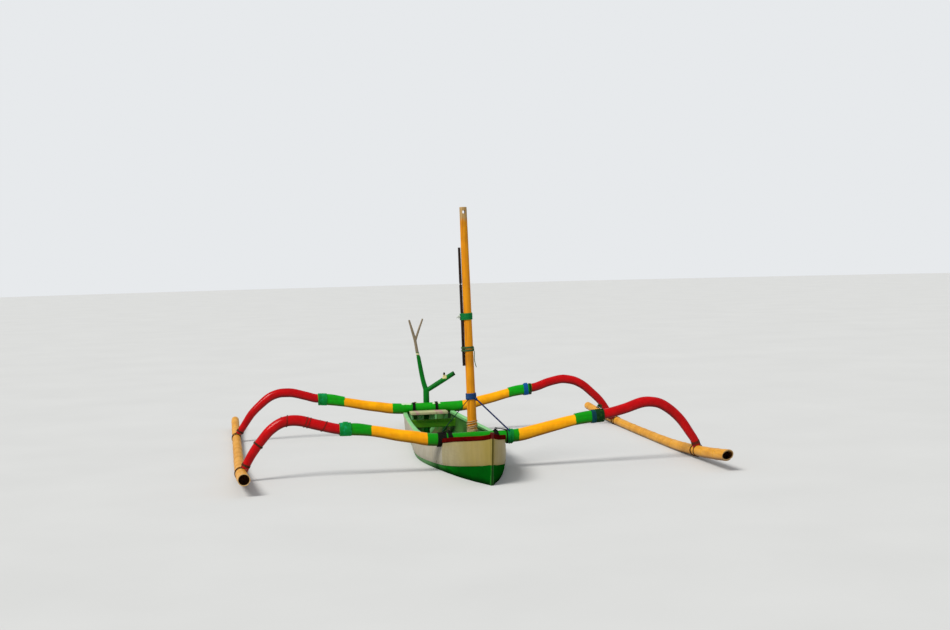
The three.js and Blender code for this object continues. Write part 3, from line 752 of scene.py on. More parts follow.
def thwart_tones(tree, where, colour):
    """Rubbed pink in cloudy patches, one towards each end."""
    across = axes(tree, where)[1]
    cloud = mottled(tree, where, 11, 4)
    port = between(tree, across, (0.03, 0.06), (0.14, 0.11))
    starboard = between(tree, across, (-0.20, -0.18), (-0.14, -0.16))
    share = times(tree, plus(tree, port, starboard), stepped(tree, cloud, 0.3, 0.55))
    return mixed(tree, share, colour, srgb("b98f8c"))


THWART = {"x": (-1.215, -1.025), "y": (-0.243, 0.188), "z": (0.254, 0.286)}
THWART_POSTS = {
    "thwart_post_starboard": (-0.225, 0.016),
    "thwart_post_inner_starboard": (-0.128, 0.036),
    "thwart_post_inner_port": (0.008, 0.034),
    "thwart_post_port": (0.171, 0.022),
}
THWART_EASE = 0.004
BLOCK_X = (-1.134, -1.106)
BLOCK_EASE = 0.003
BLOCK_TOP = 0.2545
RISER_Z = (0.095, 0.190)
RISER_COLUMNS = 24
ALONG_Y = (40, 5, 40)
bench = painted(
    "cream_thwart_paint", ("a3ab7a", "bcb78c"), stretch=ALONG_Y, bare="9a8a66", gloss=0.5,
    wear=0.3, dirt_and_painted_light=("4c4430", 0.05, 0.5, 0.2), over=thwart_tones,
)
bright_green = painted(
    "green_board_paint", ("3f8c14", "62a01c"), stretch=ALONG_Y, bare="7d8a5c", gloss=0.35,
    wear=0.4, dirt_and_painted_light=("1f3a18", 0.0, 0.25, 0.3),
)
verts, faces, edges = board(THWART["x"], THWART["y"], THWART["z"], THWART_EASE)
thwart = add_piece("thwart_board", verts, faces, bench, "canoe", crease=50, edge=edges)
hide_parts("thwart")
for name, (y, half) in THWART_POSTS.items():
    height = (RISER_Z[1], BLOCK_TOP)
    verts, faces, edges = board(BLOCK_X, (y - half, y + half), height, BLOCK_EASE, (1, 2, 3))
    stub = add_piece(f"{name}_block", verts, faces, pale_green, "canoe", crease=50, edge=edges)
    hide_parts(name)
line = station_at(-1.120)
rings, edges = [], []
low, high = RISER_Z
middle = np.linspace(low + 0.01, high - 0.01, 5)
for z in (low, low + 0.0015, low + 0.004, *middle, high - 0.004, high - 0.0015, high):
    half = skin(line, z, -HULL_WALL, HULL_FLOOR)
    ease = 0.004 * max(0, 1 - min(z - low, high - z) / 0.004)
    front = [(BLOCK_X[1] - ease, y) for y in np.linspace(-half, half, RISER_COLUMNS)]
    back = [(BLOCK_X[0] + ease, y) for y in np.linspace(half, -half, RISER_COLUMNS)]
    rings.append([(x + 0.001 * rough(x, y, z, 0.09, 8), y, z) for x, y in front + back])
    edges += [1.0 if ease > 0.001 else 0.0] * 2 * RISER_COLUMNS
verts, faces = skin_over(rings)
marks = {"edge": [*edges, 1, 1]}
board_name = "thwart_riser_board"
riser = add_piece(board_name, verts, faces, bright_green, "canoe", crease=50, **marks)
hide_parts("thwart_riser")


# Booms: two poles lie across the hull in notches in its rails, one before the mast and one near
# the stern. Orange paint, with green bands over the hull and at the arms, drawn in by hand.
def runs_along(path):
    """How far along a path each of its points lies."""
    return np.concatenate([[0], np.cumsum(np.linalg.norm(np.diff(path, axis=0), axis=1))])


def points_along(path, run, at):
    """The points of a path at given distances along it."""
    return np.stack([np.interp(at, run, path[:, k]) for k in range(path.shape[1])], axis=1)


def nearest(values, value):
    """Where in a row of values the nearest to a value stands."""
    return int(np.argmin(abs(values - value)))


def smooth_line(knots, count):
    """Evenly spaced points along a smooth curve through the knots."""
    knots = np.asarray(knots, float)
    knots = np.vstack([2 * knots[0] - knots[1], knots, 2 * knots[-1] - knots[-2]])
    points = []
    for a, b, c, d in zip(knots, knots[1:], knots[2:], knots[3:]):
        ab, bc, cd = [np.linalg.norm(q - p) ** 0.5 for p, q in ((a, b), (b, c), (c, d))]
        u = ((b - a) / ab - (c - a) / (ab + bc) + (c - b) / bc) * bc
        v = ((c - b) / bc - (d - b) / (bc + cd) + (d - c) / cd) * bc
        for w in np.linspace(0, 1, 33)[:-1]:
            bend = (2 * (b - c) + u + v) * w + 3 * (c - b) - 2 * u - v
            points.append(bend * w * w + u * w + b)
    points = np.array([*points, knots[-2]])
    run = runs_along(points)
    return points_along(points, run, np.linspace(0, run[-1], count))


def ramp(values, share):
    """A value that runs evenly through a list, for a share from 0 to 1."""
    return float(np.interp(share * (len(values) - 1), range(len(values)), values))


def pole_rings(line, across, radii, sides, uneven=0.0, seed=0.0, knots=(), saddle=None):
    """Rings round a line in one plane, whose normal is across. Knots are low swellings. Saddle
    gives, for a ring's centre, how far its straight cheeks reach down, or None for a round ring."""
    across = np.asarray(across, float)
    tangents = np.gradient(line, axis=0)
    rings = []
    for i, (centre, tangent) in enumerate(zip(line, tangents)):
        share = i / (len(line) - 1)
        up = np.cross(tangent / np.linalg.norm(tangent), across)
        up = up * (1 if up[2] > 0 or (up[2] == 0 and up[0] > 0) else -1)
        reach = saddle(centre) if saddle else None
        ring = []
        for k in range(sides):
            angle = 2 * math.pi * k / sides
            turned = centre[0] + math.cos(angle) * 0.1, centre[1] + math.sin(angle) * 0.1
            fine = rough(*turned, centre[2], 0.09, seed)
            size = ramp(radii, share)
            size *= 1 + uneven * rough(*centre, 0.22, seed) + 0.5 * uneven * fine
            for place, side, swell in knots:
                near = (share - place) * len(line) / 9
                turn = 1 - math.cos(angle - side)
                size += swell * math.exp(-near * near - turn * 5)
            high, wide = size * math.cos(angle), size * math.sin(angle)
            if reach is not None and high < 0:
                wide = math.copysign(size, wide) * min(1, abs(wide) / size * 1.6)
                high = -reach * min(1, -high / size * 2.4)
            ring.append(centre + up * high + across * wide)
        rings.append(ring)
    return rings


def banded(bands):
    """Paints bands along Y, each from, to and two tones, with slightly wandering edges."""

    def over(tree, where, colour):
        wander = times(tree, mottled(tree, where, 22, 2), 0.016)
        y = plus(tree, axes(tree, where)[1], wander)
        dabs = mottled(tree, where, 30, 3)
        for low, high, tones in bands:
            band = mixed(tree, dabs, srgb(tones[0]), srgb(tones[1]))
            edges = (low + 0.006, low + 0.010), (high + 0.010, high + 0.006)
            colour = mixed(tree, between(tree, y, *edges), colour, band)
        return colour

    return over


BOOM_SHIFT = 0.020
BOOM_POINTS = 190
BOOM_Y = (0, 0.450, 0.600, 0.750, 1.010, 1.330)
BOOM_LENGTH = 2 * BOOM_Y[-1]
BOOM_RADII = (0.049, 0.053, 0.059, 0.062, 0.065, 0.062, 0.059, 0.053, 0.049)
BOOMS = {
    "front": {
        "x": BOOM_X["front"],
        "port": (0.312, 0.326, 0.358, 0.392, 0.447, 0.476),
        "starboard": (0.312, 0.321, 0.351, 0.377, 0.431, 0.455),
        "green": [(-1.296, -0.991), (-0.449, 0.453), (1.027, 1.312)],
        "worn": [],
        "end": {"port": 1.288, "starboard": 1.300},
        "knots": [(0.17, 0.9, 0.004), (0.31, -0.6, 0.005), (0.69, 0.4, 0.004), (0.83, 2.2, 0.005)],
    },
    "rear": {
        "x": BOOM_X["rear"],
        "port": (0.299, 0.318, 0.356, 0.388, 0.446, 0.474),
        "starboard": (0.299, 0.310, 0.334, 0.358, 0.409, 0.449),
        "green": [(-1.300, -0.995), (-0.429, 0.408), (0.972, 1.252)],
        "worn": [(-0.335, -0.195), (0.035, 0.155)],
        "end": {"port": 1.213, "starboard": 1.303},
        "knots": [(0.14, -1.2, 0.005), (0.36, 0.7, 0.004), (0.64, 1.9, 0.005), (0.88, 0.2, 0.004)],
    },
}
BAND_GREENS = {"front": ("047a08", "08940c"), "rear": ("04860c", "08a412")}
ARM_RED = ("a60206", "ba0408")
RUBBED_BARE = 2.4
RUBBED_ABOVE = 0.350
for row, boom in BOOMS.items():
    knots = [(boom["x"], BOOM_SHIFT - y, z) for y, z in zip(BOOM_Y, boom["starboard"])][:0:-1]
    knots += [(boom["x"], BOOM_SHIFT + y, z) for y, z in zip(BOOM_Y, boom["port"])]
    boom["line"] = smooth_line(knots, BOOM_POINTS)
    swellings = {"uneven": 0.018, "seed": len(row), "knots": boom["knots"]}
    rings = pole_rings(boom["line"], (1, 0, 0), BOOM_RADII, sides=40, **swellings)
    ends = [BOOM_SHIFT - boom["end"]["starboard"], BOOM_SHIFT + boom["end"]["port"]]
    rings = [ring for ring, centre in zip(rings, boom["line"]) if ends[0] < centre[1] < ends[1]]
    verts, faces = skin_over(rings)
    rubbed = []
    for _, y, z in verts:
        along = max([min(y - low, high - y) / 0.02 for low, high in boom["worn"]], default=0)
        rubbed.append(RUBBED_BARE * min(max(along, 0), 1) * (z > RUBBED_ABOVE))
    bands = [(-2, boom["green"][0][0], ARM_RED), (boom["green"][2][1], 2, ARM_RED)]
    bands += [(*place, BAND_GREENS[row]) for place in boom["green"]]
    # The orange is darkened on its undersides by painted shade, three quarters strong.
    orange = painted(
        f"orange_boom_paint_{row}", ("ee9a04", "fbae08"), stretch=ALONG_Y, bare="c4dcb4",
        gloss=0.3, wear=0.42, dirt_and_painted_light=("3a2a06", 0.1, 0.55, 0.2), over=banded(bands), sheen=0.1,
        underside_shade=0.75,
    )
    label = f"boom_{row}_pole"
    piece = add_piece(label, verts, faces, orange, "canoe", crease=50, edge=rubbed)
    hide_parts(f"boom_{row}")

# Arms: a naturally bent limb is scarfed to each end of a boom and droops to the float. Glossy red
# paint, rubbed through to wood in small spots. The scarf is under the green band and its lashing.
ARM_POINTS = 170
ARM_TIP = 0.16
ARM_RADII = (0.046, 0.050, 0.051, 0.050, 0.045, 0.038)
ARMS = {
    ("front", "port"): (
        (1.007, 1.130, 1.310, 1.502, 1.691, 1.790, 1.882, 1.986, 2.089, 2.179, 2.239, 2.262),
        (0.463, 0.481, 0.492, 0.533, 0.588, 0.592, 0.571, 0.505, 0.405, 0.275, 0.177, 0.090),
    ),
    ("front", "starboard"): (
        (1.011, 1.160, 1.310, 1.505, 1.691, 1.790, 1.871, 1.968, 2.061, 2.152, 2.209, 2.245),
        (0.441, 0.465, 0.461, 0.507, 0.557, 0.563, 0.545, 0.484, 0.382, 0.258, 0.159, 0.080),
    ),
    ("rear", "port"): (
        (0.952, 1.071, 1.268, 1.447, 1.599, 1.690, 1.772, 1.871, 1.969, 2.075, 2.156, 2.225),
        (0.455, 0.478, 0.492, 0.548, 0.576, 0.568, 0.548, 0.495, 0.409, 0.304, 0.191, 0.080),
    ),
    ("rear", "starboard"): (
        (1.015, 1.180, 1.345, 1.455, 1.603, 1.689, 1.774, 1.878, 1.982, 2.091, 2.169, 2.246),
        (0.429, 0.464, 0.470, 0.501, 0.541, 0.547, 0.543, 0.506, 0.426, 0.319, 0.208, 0.095),
    ),
}
red_paints = {}
for row, boom in BOOMS.items():
    band = (boom["green"][0][0], boom["green"][2][1], BAND_GREENS[row])
    # The red is darkened on its undersides by painted shade, three quarters strong.
    red = painted(
        f"red_arm_paint_{row}", ARM_RED, stretch=(12, 12, 12), bare="b9806a", gloss=0.22,
        wear=0.45, dirt_and_painted_light=("3a0806", 0.0, 0.5, 0.2), over=banded([band]), sheen=0.06, underside_shade=0.75,
    )
    coat = red.node_tree.nodes["Principled BSDF"].inputs
    coat["Coat Weight"].default_value = 0.15
    coat["Coat Roughness"].default_value = 0.15
    red_paints[row] = red
arm_lines = {}
for (row, name), heights in ARMS.items():
    side = SIDES[name]
    knots = [(BOOMS[row]["x"], side * y + BOOM_SHIFT, z) for y, z in zip(*heights)]
    line = smooth_line(knots, ARM_POINTS)
    arm_lines[row, name] = line

    def on_boom(centre):
        """Over the boom, the arm's cheeks run down to the boom's middle."""
        boom = BOOMS[row]["line"]
        if abs(centre[1] - BOOM_SHIFT) > BOOMS[row]["end"][name]:
            return None
        return centre[2] - float(np.interp(centre[1], boom[:, 1], boom[:, 2]))

    bumps = [(0.28, 1.1 * side, 0.004), (0.47, 0.2, 0.004), (0.63, 2.0, 0.003), (0.8, -1.0, 0.003)]
    swellings = {"uneven": 0.022, "seed": 3.1 * side + len(row), "knots": bumps}
    rings = pole_rings(line, (1, 0, 0), ARM_RADII, sides=36, saddle=on_boom, **swellings)
    verts, faces = skin_over(rings)
    rubbed = [max(0.0, 1 - math.dist(v, line[-1]) / ARM_TIP) for v in verts]
    label = f"arm_{row}_{name}_limb"
    piece = add_piece(label, verts, faces, red_paints[row], "canoe", crease=50, edge=rubbed)
    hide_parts(f"arm_{row}_{name}")


# Arm lashings: laid rope in close turns over each scarf, with its end tucked under. The two to
# starboard are painted over in green. To port the front one is dark green, knotted on top, beside
# a teal one, and the rear one is blue, beside a dark green one.
STRANDS = 3
STRAND_PROFILE = (1.0, 0.94, 0.80, 0.94)
ROPE_LAY = 7


def rope_mesh(path, radius):
    """Points, faces and depth marks of a laid rope along a path, its strands winding round it."""
    path = np.asarray(path, float)
    run = runs_along(path)
    count = max(int(run[-1] / (radius * 0.9)), 6)
    at = np.linspace(0, run[-1], count)
    path = points_along(path, run, at)
    tangents = np.gradient(path, axis=0)
    tangents /= np.linalg.norm(tangents, axis=1)[:, None]
    normal = np.array(Vector(tangents[0]).orthogonal().normalized())
    sides = STRANDS * len(STRAND_PROFILE)
    rings, marks = [], []
    for i in range(count):
        normal = normal - tangents[i] * np.dot(normal, tangents[i])
        normal /= np.linalg.norm(normal)
        side = np.cross(tangents[i], normal)
        twist = at[i] / (radius * ROPE_LAY) * 2 * math.pi
        end = min(1.0, 0.55 + min(i, count - 1 - i) * 0.25)
        ring = []
        for k in range(sides):
            angle = 2 * math.pi * k / sides + twist
            lift = STRAND_PROFILE[k % len(STRAND_PROFILE)]
            size = radius * lift * end
            ring.append(path[i] + (normal * math.cos(angle) + side * math.sin(angle)) * size)
            marks.append((lift - 0.8) * 5)
        rings.append(ring)
    verts, faces = skin_over(rings)
    return verts, faces, [*marks, 0, 0]


def girdle(circles, count=40):
    """Evenly spaced points on the outline of a string pulled round circles, each (u, v, radius)."""
    turn = np.linspace(0, 2 * math.pi, 120, endpoint=False)
    cloud = [(u + r * math.cos(a), v + r * math.sin(a)) for u, v, r in circles for a in turn]
    cloud.sort()
    halves = []
    for ordered in (cloud, cloud[::-1]):
        half = []
        for p in ordered:
            while len(half) > 1:
                (ax, ay), (bx, by) = half[-2], half[-1]
                if (bx - ax) * (p[1] - ay) - (by - ay) * (p[0] - ax) > 0:
                    break
                half.pop()
            half.append(p)
        halves += half[:-1]
    loop = np.array([*halves, halves[0]])
    run = runs_along(loop)
    return points_along(loop, run, np.linspace(0, run[-1], count + 1)[:-1])


def coil(start, end, u, v, circles, radius, turns, seed=0.0, tuck=True):
    """A path that winds round an axis from start to end, outside circles in the plane of u and v
    by the rope's radius. Its ends are tucked in, if tuck is set."""
    start, end, u, v = (np.asarray(p, float) for p in (start, end, u, v))
    along = (end - start) / np.linalg.norm(end - start)
    loop = girdle([(a, b, r + radius * 0.92) for a, b, r in circles])
    count = len(loop)
    total = int(turns * count)
    path = []
    for i in range(total + 1):
        share = i / total
        slip = 0.16 * radius * rough(i / count, seed, 0, 0.7)
        a, b = loop[i % count] * (1 + 0.012 * rough(i / count, 0, seed, 0.4))
        if tuck:
            inward = max(0, 1 - min(i, total - i) / (count * 0.18))
            a, b = a * (1 - 0.10 * inward), b * (1 - 0.10 * inward)
        path.append(start + (end - start) * share + u * a + v * b + along * slip)
    return np.array(path)


def knot_path(at, axis, size):
    """A trefoil, drawn tight, as a knot's path."""
    axis = Vector(axis).normalized()
    across = axis.orthogonal().normalized()
    up = axis.cross(across)
    path = []
    for a in np.linspace(0, 2 * math.pi, 90):
        flat = (2 + math.cos(3 * a)) / 3 * size
        spot = Vector(at) + across * flat * math.cos(2 * a) + up * flat * math.sin(2 * a)
        path.append(tuple(spot + axis * 0.5 * size * math.sin(3 * a)))
    return np.array(path)


def rope_material(name, tones, bare, dirt_and_painted_light=0.35):
    """Laid rope: two tones of its fibre, painted shade between the strands, and a paler
    colour in patches, dust where it is rubbed.
    """
    material, tree, where, shader = new_material(name)
    fibre = mottled(tree, where, 900, 2)
    cloud = mottled(tree, where, 26, 4)
    colour = mixed(tree, fibre, srgb(tones[0]), srgb(tones[1]))
    colour = mixed(tree, times(tree, stepped(tree, cloud, 0.5, 0.75), dirt_and_painted_light), colour, srgb(bare))
    # Painted shade: the grooves between the strands are darkened.
    groove_shade = stepped(tree, marked(tree, "strand"), 0.7, 0.0)
    colour = mixed(tree, times(tree, groove_shade, 0.5), colour, srgb("0d0b08"))
    surfaced(tree, shader, colour, spread(tree, fibre, 0.7, 0.95), fibre, 0.0006, 0.6, 0.15)
    return material


def add_rope(name, paths, radius, material, body, slot):
    """One piece of one or more lengths of the same rope."""
    verts, faces, strand = joined([rope_mesh(path, radius) for path in paths])
    piece = add_piece(name, verts, faces, material, body, crease=80, strand=strand)
    return piece


def lashed(row, name, low, high, radius, humps, seed):
    """Turns of rope round a scarf from low to high, with humps of turns that go higher on top.
    Low, high and the humps' places are along Y from the middle of the boom."""
    side = SIDES[name]
    arm, boom = arm_lines[row, name], BOOMS[row]["line"]
    centres, circles = [], []
    for y in (low, high):
        i, j = (nearest(line[:, 1], side * y + BOOM_SHIFT) for line in (arm, boom))
        centres.append((arm[i] + boom[j]) / 2)
        half = (arm[i][2] - boom[j][2]) / 2
        circles.append((half, ramp(ARM_RADII, i / (ARM_POINTS - 1))))
        circles.append((-half, ramp(BOOM_RADII, j / (BOOM_POINTS - 1))))
    run = centres[1] - centres[0]
    along = run / np.linalg.norm(run)
    up = np.cross((1, 0, 0), along) * side
    pairs = (circles[0], circles[2]), (circles[1], circles[3])
    around = [(0, (near[0] + far[0]) / 2, (near[1] + far[1]) / 2) for near, far in pairs]
    turns = max(math.dist(*centres) / (radius * 2.03), 1.5)
    paths = [coil(*centres, (1, 0, 0), up, around, radius, turns, seed)]
    for place, length, lift in humps:
        ends = [centres[0] + along * (place - low + way * length / 2) for way in (-1, 1)]
        raised = [*around, (0.004, around[0][1] + lift, around[0][2] * 0.8)]
        turns = max(length / (radius * 1.6), 1.5)
        paths.append(coil(*ends, (1, 0, 0), up, raised, radius, turns, seed + place, False))
    return paths, centres, up


# On the painted green rope the pale teal patches are painted highlights, not dust.
painted_rope = rope_material("painted_green_rope", ("028232", "069a40"), "24b48c", 0.6)
dark_green_rope = rope_material("dark_green_rope", ("06280c", "0c4214"), "3a6a1c", 0.5)
blue_rope = rope_material("blue_rope", ("143468", "2a558c"), "5580a8")
band_rope = rope_material("blue_band_rope", ("08508c", "0f62a8"), "1c8a9c")
teal_rope = rope_material("teal_rope", ("06303e", "0a4e5c"), "1f7f7c")
THREE_HUMPS = [(1.230, 0.05, 0.012), (1.258, 0.05, 0.020), (1.284, 0.03, 0.012)]
ARM_LASHINGS = {
    ("front", "port", "first"): (
        dark_green_rope, 1.212, 1.296, 0.0046, [(1.244, 0.034, 0.010)], "green_rope",
    ),
    ("front", "port", "second"): (teal_rope, 1.172, 1.210, 0.0046, [], "blue_rope"),
    ("front", "starboard", "first"): (
        painted_rope, 1.204, 1.312, 0.0050, THREE_HUMPS, "brown_rope",
    ),
    ("rear", "port", "first"): (
        band_rope, 1.135, 1.192, 0.0050, [(1.168, 0.040, 0.018)], "blue_rope",
    ),
    ("rear", "port", "second"): (dark_green_rope, 1.196, 1.228, 0.0046, [], "green_rope"),
    ("rear", "starboard", "first"): (
        painted_rope, 1.213, 1.315, 0.0050, [(1.246, 0.05, 0.010)], "brown_rope",
    ),
}
for (row, name, order), (material, low, high, radius, humps, slot) in ARM_LASHINGS.items():
    seed = len(name) + (order == "second")
    paths, centres, up = lashed(row, name, low, high, radius, humps, seed)
    if (row, name, order) == ("front", "port", "first"):
        top = centres[0] * 0.4 + centres[1] * 0.6 + up * 0.088
        paths += [knot_path(top, up, 0.027), knot_path(top + up * 0.012, up, 0.014)]
        loose_end = [top, top + up * 0.018 + [0.014, 0, 0], top + [0.050, 0.012, -0.01]]
        paths.append(smooth_line(loose_end, 20))
    label = f"arm_lashing_{row}_{name}"
    piece = add_rope(f"{label}_{order}_turns", paths, radius, material, "canoe", slot)
    if order == "first":
        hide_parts(label)


# Floats: a thick bamboo pole on each side lies on the water and turns up at both ends. They are
# sawn off and left open, the port one at a slant ahead and lower aft. Straw yellow, with raised
# rings at the nodes, stains and fine splits.
NODE_STEPS = (-0.022, -0.013, -0.008, -0.005, -0.0025, 0, 0.0025, 0.005, 0.008, 0.013, 0.022)
SPLIT_SIDE = 5
SPLIT_REACH = 0.24


def bamboo_rings(line, across, radii, sides, nodes, seed, slant=0.0):
    """Outer rings of a bamboo pole, swelling at its nodes, with a split running from each end.
    Slant is how far the fore end is sawn back from bottom to top, in radii."""
    tangents = np.gradient(line, axis=0)
    run = runs_along(line)
    rings, marks = [], []
    spots = list(np.linspace(0, run[-1], 120))
    for node in nodes:
        spots += [node + step for step in NODE_STEPS]
    across = np.asarray(across, float)
    for at in sorted(spots):
        at = min(max(at, 0), run[-1])
        centre, tangent = (points_along(curve, run, [at])[0] for curve in (line, tangents))
        tangent /= np.linalg.norm(tangent)
        up = np.cross(across, tangent)
        gap = at - nodes[nearest(np.array(nodes), at)]
        ridge = 0.0016 * math.exp(-((gap / 0.0042) ** 2))
        ridge -= 0.0016 * math.exp(-(((gap - 0.010) / 0.004) ** 2))
        ridge += 0.0008 * math.exp(-((gap / 0.03) ** 2))
        from_end = min(at, run[-1] - at)
        ring = []
        for k in range(sides):
            angle = 2 * math.pi * k / sides
            cosine, sine = math.cos(angle), math.sin(angle)
            size = ramp(radii, at / run[-1]) + ridge
            size += 0.0012 * rough(at, cosine * 0.1, sine * 0.1, 0.12, seed)
            if k == SPLIT_SIDE and from_end < SPLIT_REACH:
                size -= 0.005 * (1 - from_end / SPLIT_REACH)
            ahead = -tangent * slant * size * cosine * max(0, 1 - (run[-1] - at) / 0.1)
            ring.append(centre + up * size * cosine + across * size * sine + ahead)
            marks.append(math.exp(-((gap / 0.012) ** 2)))
        rings.append(ring)
    return rings, marks


bamboo, tree, where, shader = new_material("straw_bamboo")
fibre = mottled(tree, stretched(tree, where, (2.5, 60, 60)), 1, 6)
cloud = mottled(tree, where, 4.5, 5)
wet = plus(tree, axes(tree, where)[2], times(tree, cloud, -0.03))
colour = mixed(tree, stepped(tree, fibre, 0.3, 0.7), srgb("cf9020"), srgb("de9f34"))
for share, strength, tone in (
    (stepped(tree, cloud, 0.42, 0.7), 0.6, "c28022"),
    (stepped(tree, mottled(tree, where, 42, 4, 0.7), 0.6, 0.68), 0.6, "6f5326"),
    (marked(tree, "ring"), 0.15, "8d6427"),
    (stepped(tree, wet, 0.022, -0.012), 0.75, "5f5228"),
):
    colour = mixed(tree, times(tree, share, strength), colour, srgb(tone))
cut_and_hollow_shade = marked(tree, "cut_and_hollow_shade")
# The sawn rim is pale; down the open bore the bamboo is painted dark brown as shade of the hollow.
colour = mixed(tree, stepped(tree, cut_and_hollow_shade, 0.2, 0.8), colour, srgb("caa873"))
colour = mixed(tree, stepped(tree, cut_and_hollow_shade, 1.2, 1.8), colour, srgb("5a3612"))
# Light stains, and painted shade that darkens the undersides of the floats.
colour, _ = soiled_and_shaded(tree, where, colour, "6a4408", 0.0, 0.1, 0.2, 0.85)
surfaced(tree, shader, colour, spread(tree, cloud, 0.32, 0.6), fibre, 0.0008, 0.35, 0.15)

FLOAT_X = (-2.720, -2.000, -1.000, 0, 1.000, 1.800, 2.400, 2.690)
FLOAT_Y = (2.275, 2.275, 2.273, 2.270, 2.267, 2.260, 2.248, 2.242)
FLOAT_Z = (0.106, 0.063, 0.041, 0.036, 0.044, 0.083, 0.130, 0.159)
FLOAT_RADII = (0.046, 0.050, 0.056)
FLOAT_SIDES = 36
FLOAT_SLANT = {"port": 0.8, "starboard": 0.25}
float_lines = {}
for name, side in SIDES.items():
    knots = [(x, side * y + BOOM_SHIFT, z) for x, y, z in zip(FLOAT_X, FLOAT_Y, FLOAT_Z)]
    line = smooth_line(knots, 240)
    if name == "port":
        line[:, 2] -= 0.013 * np.clip((-1.9 - line[:, 0]) / 0.8, 0, 1)
    float_lines[name] = line
    shift = 0.11 * side
    nodes = [0.27 + shift, 0.66, 1.03 + shift / 2, 1.42, 1.80, 2.19 - shift / 2, 2.57, 2.93]
    nodes += [3.30, 3.68, 4.03, 4.39, 4.74, 5.06 + shift / 2]
    form = line, (0, 1, 0), FLOAT_RADII, FLOAT_SIDES, nodes, side * 4, FLOAT_SLANT[name]
    rings, ring_marks = bamboo_rings(*form)
    rings = [np.array(ring) for ring in rings]
    bores = []
    for end, bore, inward in ((0, 0.036, line[1] - line[0]), (-1, 0.0485, line[-2] - line[-1])):
        inward = inward / np.linalg.norm(inward)
        centre = rings[end].mean(0)
        spokes = rings[end] - centre
        sizes = np.linalg.norm(spokes, axis=1)[:, None]
        # Marks: 1 on the sawn rim, and up to 2 down the bore, where dark brown is painted as shade.
        bores.append([
            (centre + spokes / sizes * (sizes - 0.0025) - inward * 0.0015, 1.0),
            (centre + spokes / sizes * (bore + 0.003) - inward * 0.0010, 1.0),
            (centre + spokes / sizes * bore + inward * 0.004, 1.6),
            (centre + spokes / sizes * bore + inward * 0.06, 2.0),
            (centre + spokes / sizes * bore * 0.97 + inward * 0.150, 2.0),
            (centre + spokes / sizes * bore * 0.5 + inward * 0.166, 2.0),
        ])
    aft, fore = bores[0][::-1], bores[1]
    verts, faces = skin_over([*[r for r, _ in aft], *rings, *[r for r, _ in fore]])
    bare_ends = [[0.0] * FLOAT_SIDES * len(bore) for bore in (aft, fore)]
    cut_and_hollow_shade_ends = [[m for _, m in bore for _ in range(FLOAT_SIDES)] for bore in (aft, fore)]
    marks = {
        "ring": [*bare_ends[0], *ring_marks, *bare_ends[1], 0, 0],
        "cut_and_hollow_shade": [*cut_and_hollow_shade_ends[0], *[0.0] * len(ring_marks), *cut_and_hollow_shade_ends[1], 2, 2],
    }
    label = f"float_{name}_bamboo"
    piece = add_piece(label, verts, faces, bamboo, "canoe", crease=38, **marks)
    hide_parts(f"float_{name}")

# Float lashings: brown rope holds the tip of each arm down on its float, with turns round the
# float on both sides of the arm, turns round the arm's foot, and a cross over it.
brown_rope = rope_material("brown_rope", ("3a1c10", "55301c"), "7a6238")
FLOAT_ROPE = 0.0038
ARM_FOOT = 0.0375
for row, boom in BOOMS.items():
    for name, side in SIDES.items():
        line = float_lines[name]
        i = nearest(line[:, 0], boom["x"])
        centre = line[i]
        along = line[i + 1] - line[i - 1]
        along /= np.linalg.norm(along)
        up = np.cross(along, (0, 1, 0))
        size = ramp(FLOAT_RADII, i / (len(line) - 1))
        paths = []
        for way, reach in ((1, 0.050), (-1, 0.064)):
            ends = centre + along * way * 0.038, centre + along * way * reach
            paths.append(coil(*ends, (0, 1, 0), up, [(0, 0, size)], FLOAT_ROPE, 2.2, way))
        arm = arm_lines[row, name]
        away = np.linalg.norm(arm - centre, axis=1) - size
        low, high = (arm[nearest(away, height)] for height in (0.022, 0.052))
        axis = (high - low) / np.linalg.norm(high - low)
        flat = np.cross(axis, (1, 0, 0))
        foot = [(0, 0, ARM_FOOT)]
        paths.append(coil(low, high, (1, 0, 0), flat, foot, FLOAT_ROPE, 3.4, 3))
        outward = np.array([0, side, 0.0])
        for way in (1, -1):
            arc = [
                centre - up * (size + FLOAT_ROPE) + along * way * 0.030,
                centre + outward * (size + FLOAT_ROPE) + along * way * 0.036,
                low + outward * 0.036 + along * way * 0.022 + axis * 0.004,
                high + outward * 0.043 - along * way * 0.004 + axis * 0.006,
                high - along * way * 0.036 + axis * 0.018,
            ]
            paths.append(smooth_line(arc, 40))
        label = f"float_lashing_{row}_{name}"
        turns = f"{label}_turns"
        piece = add_rope(turns, paths, FLOAT_ROPE, brown_rope, "canoe", "brown_rope")
        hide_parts(label)

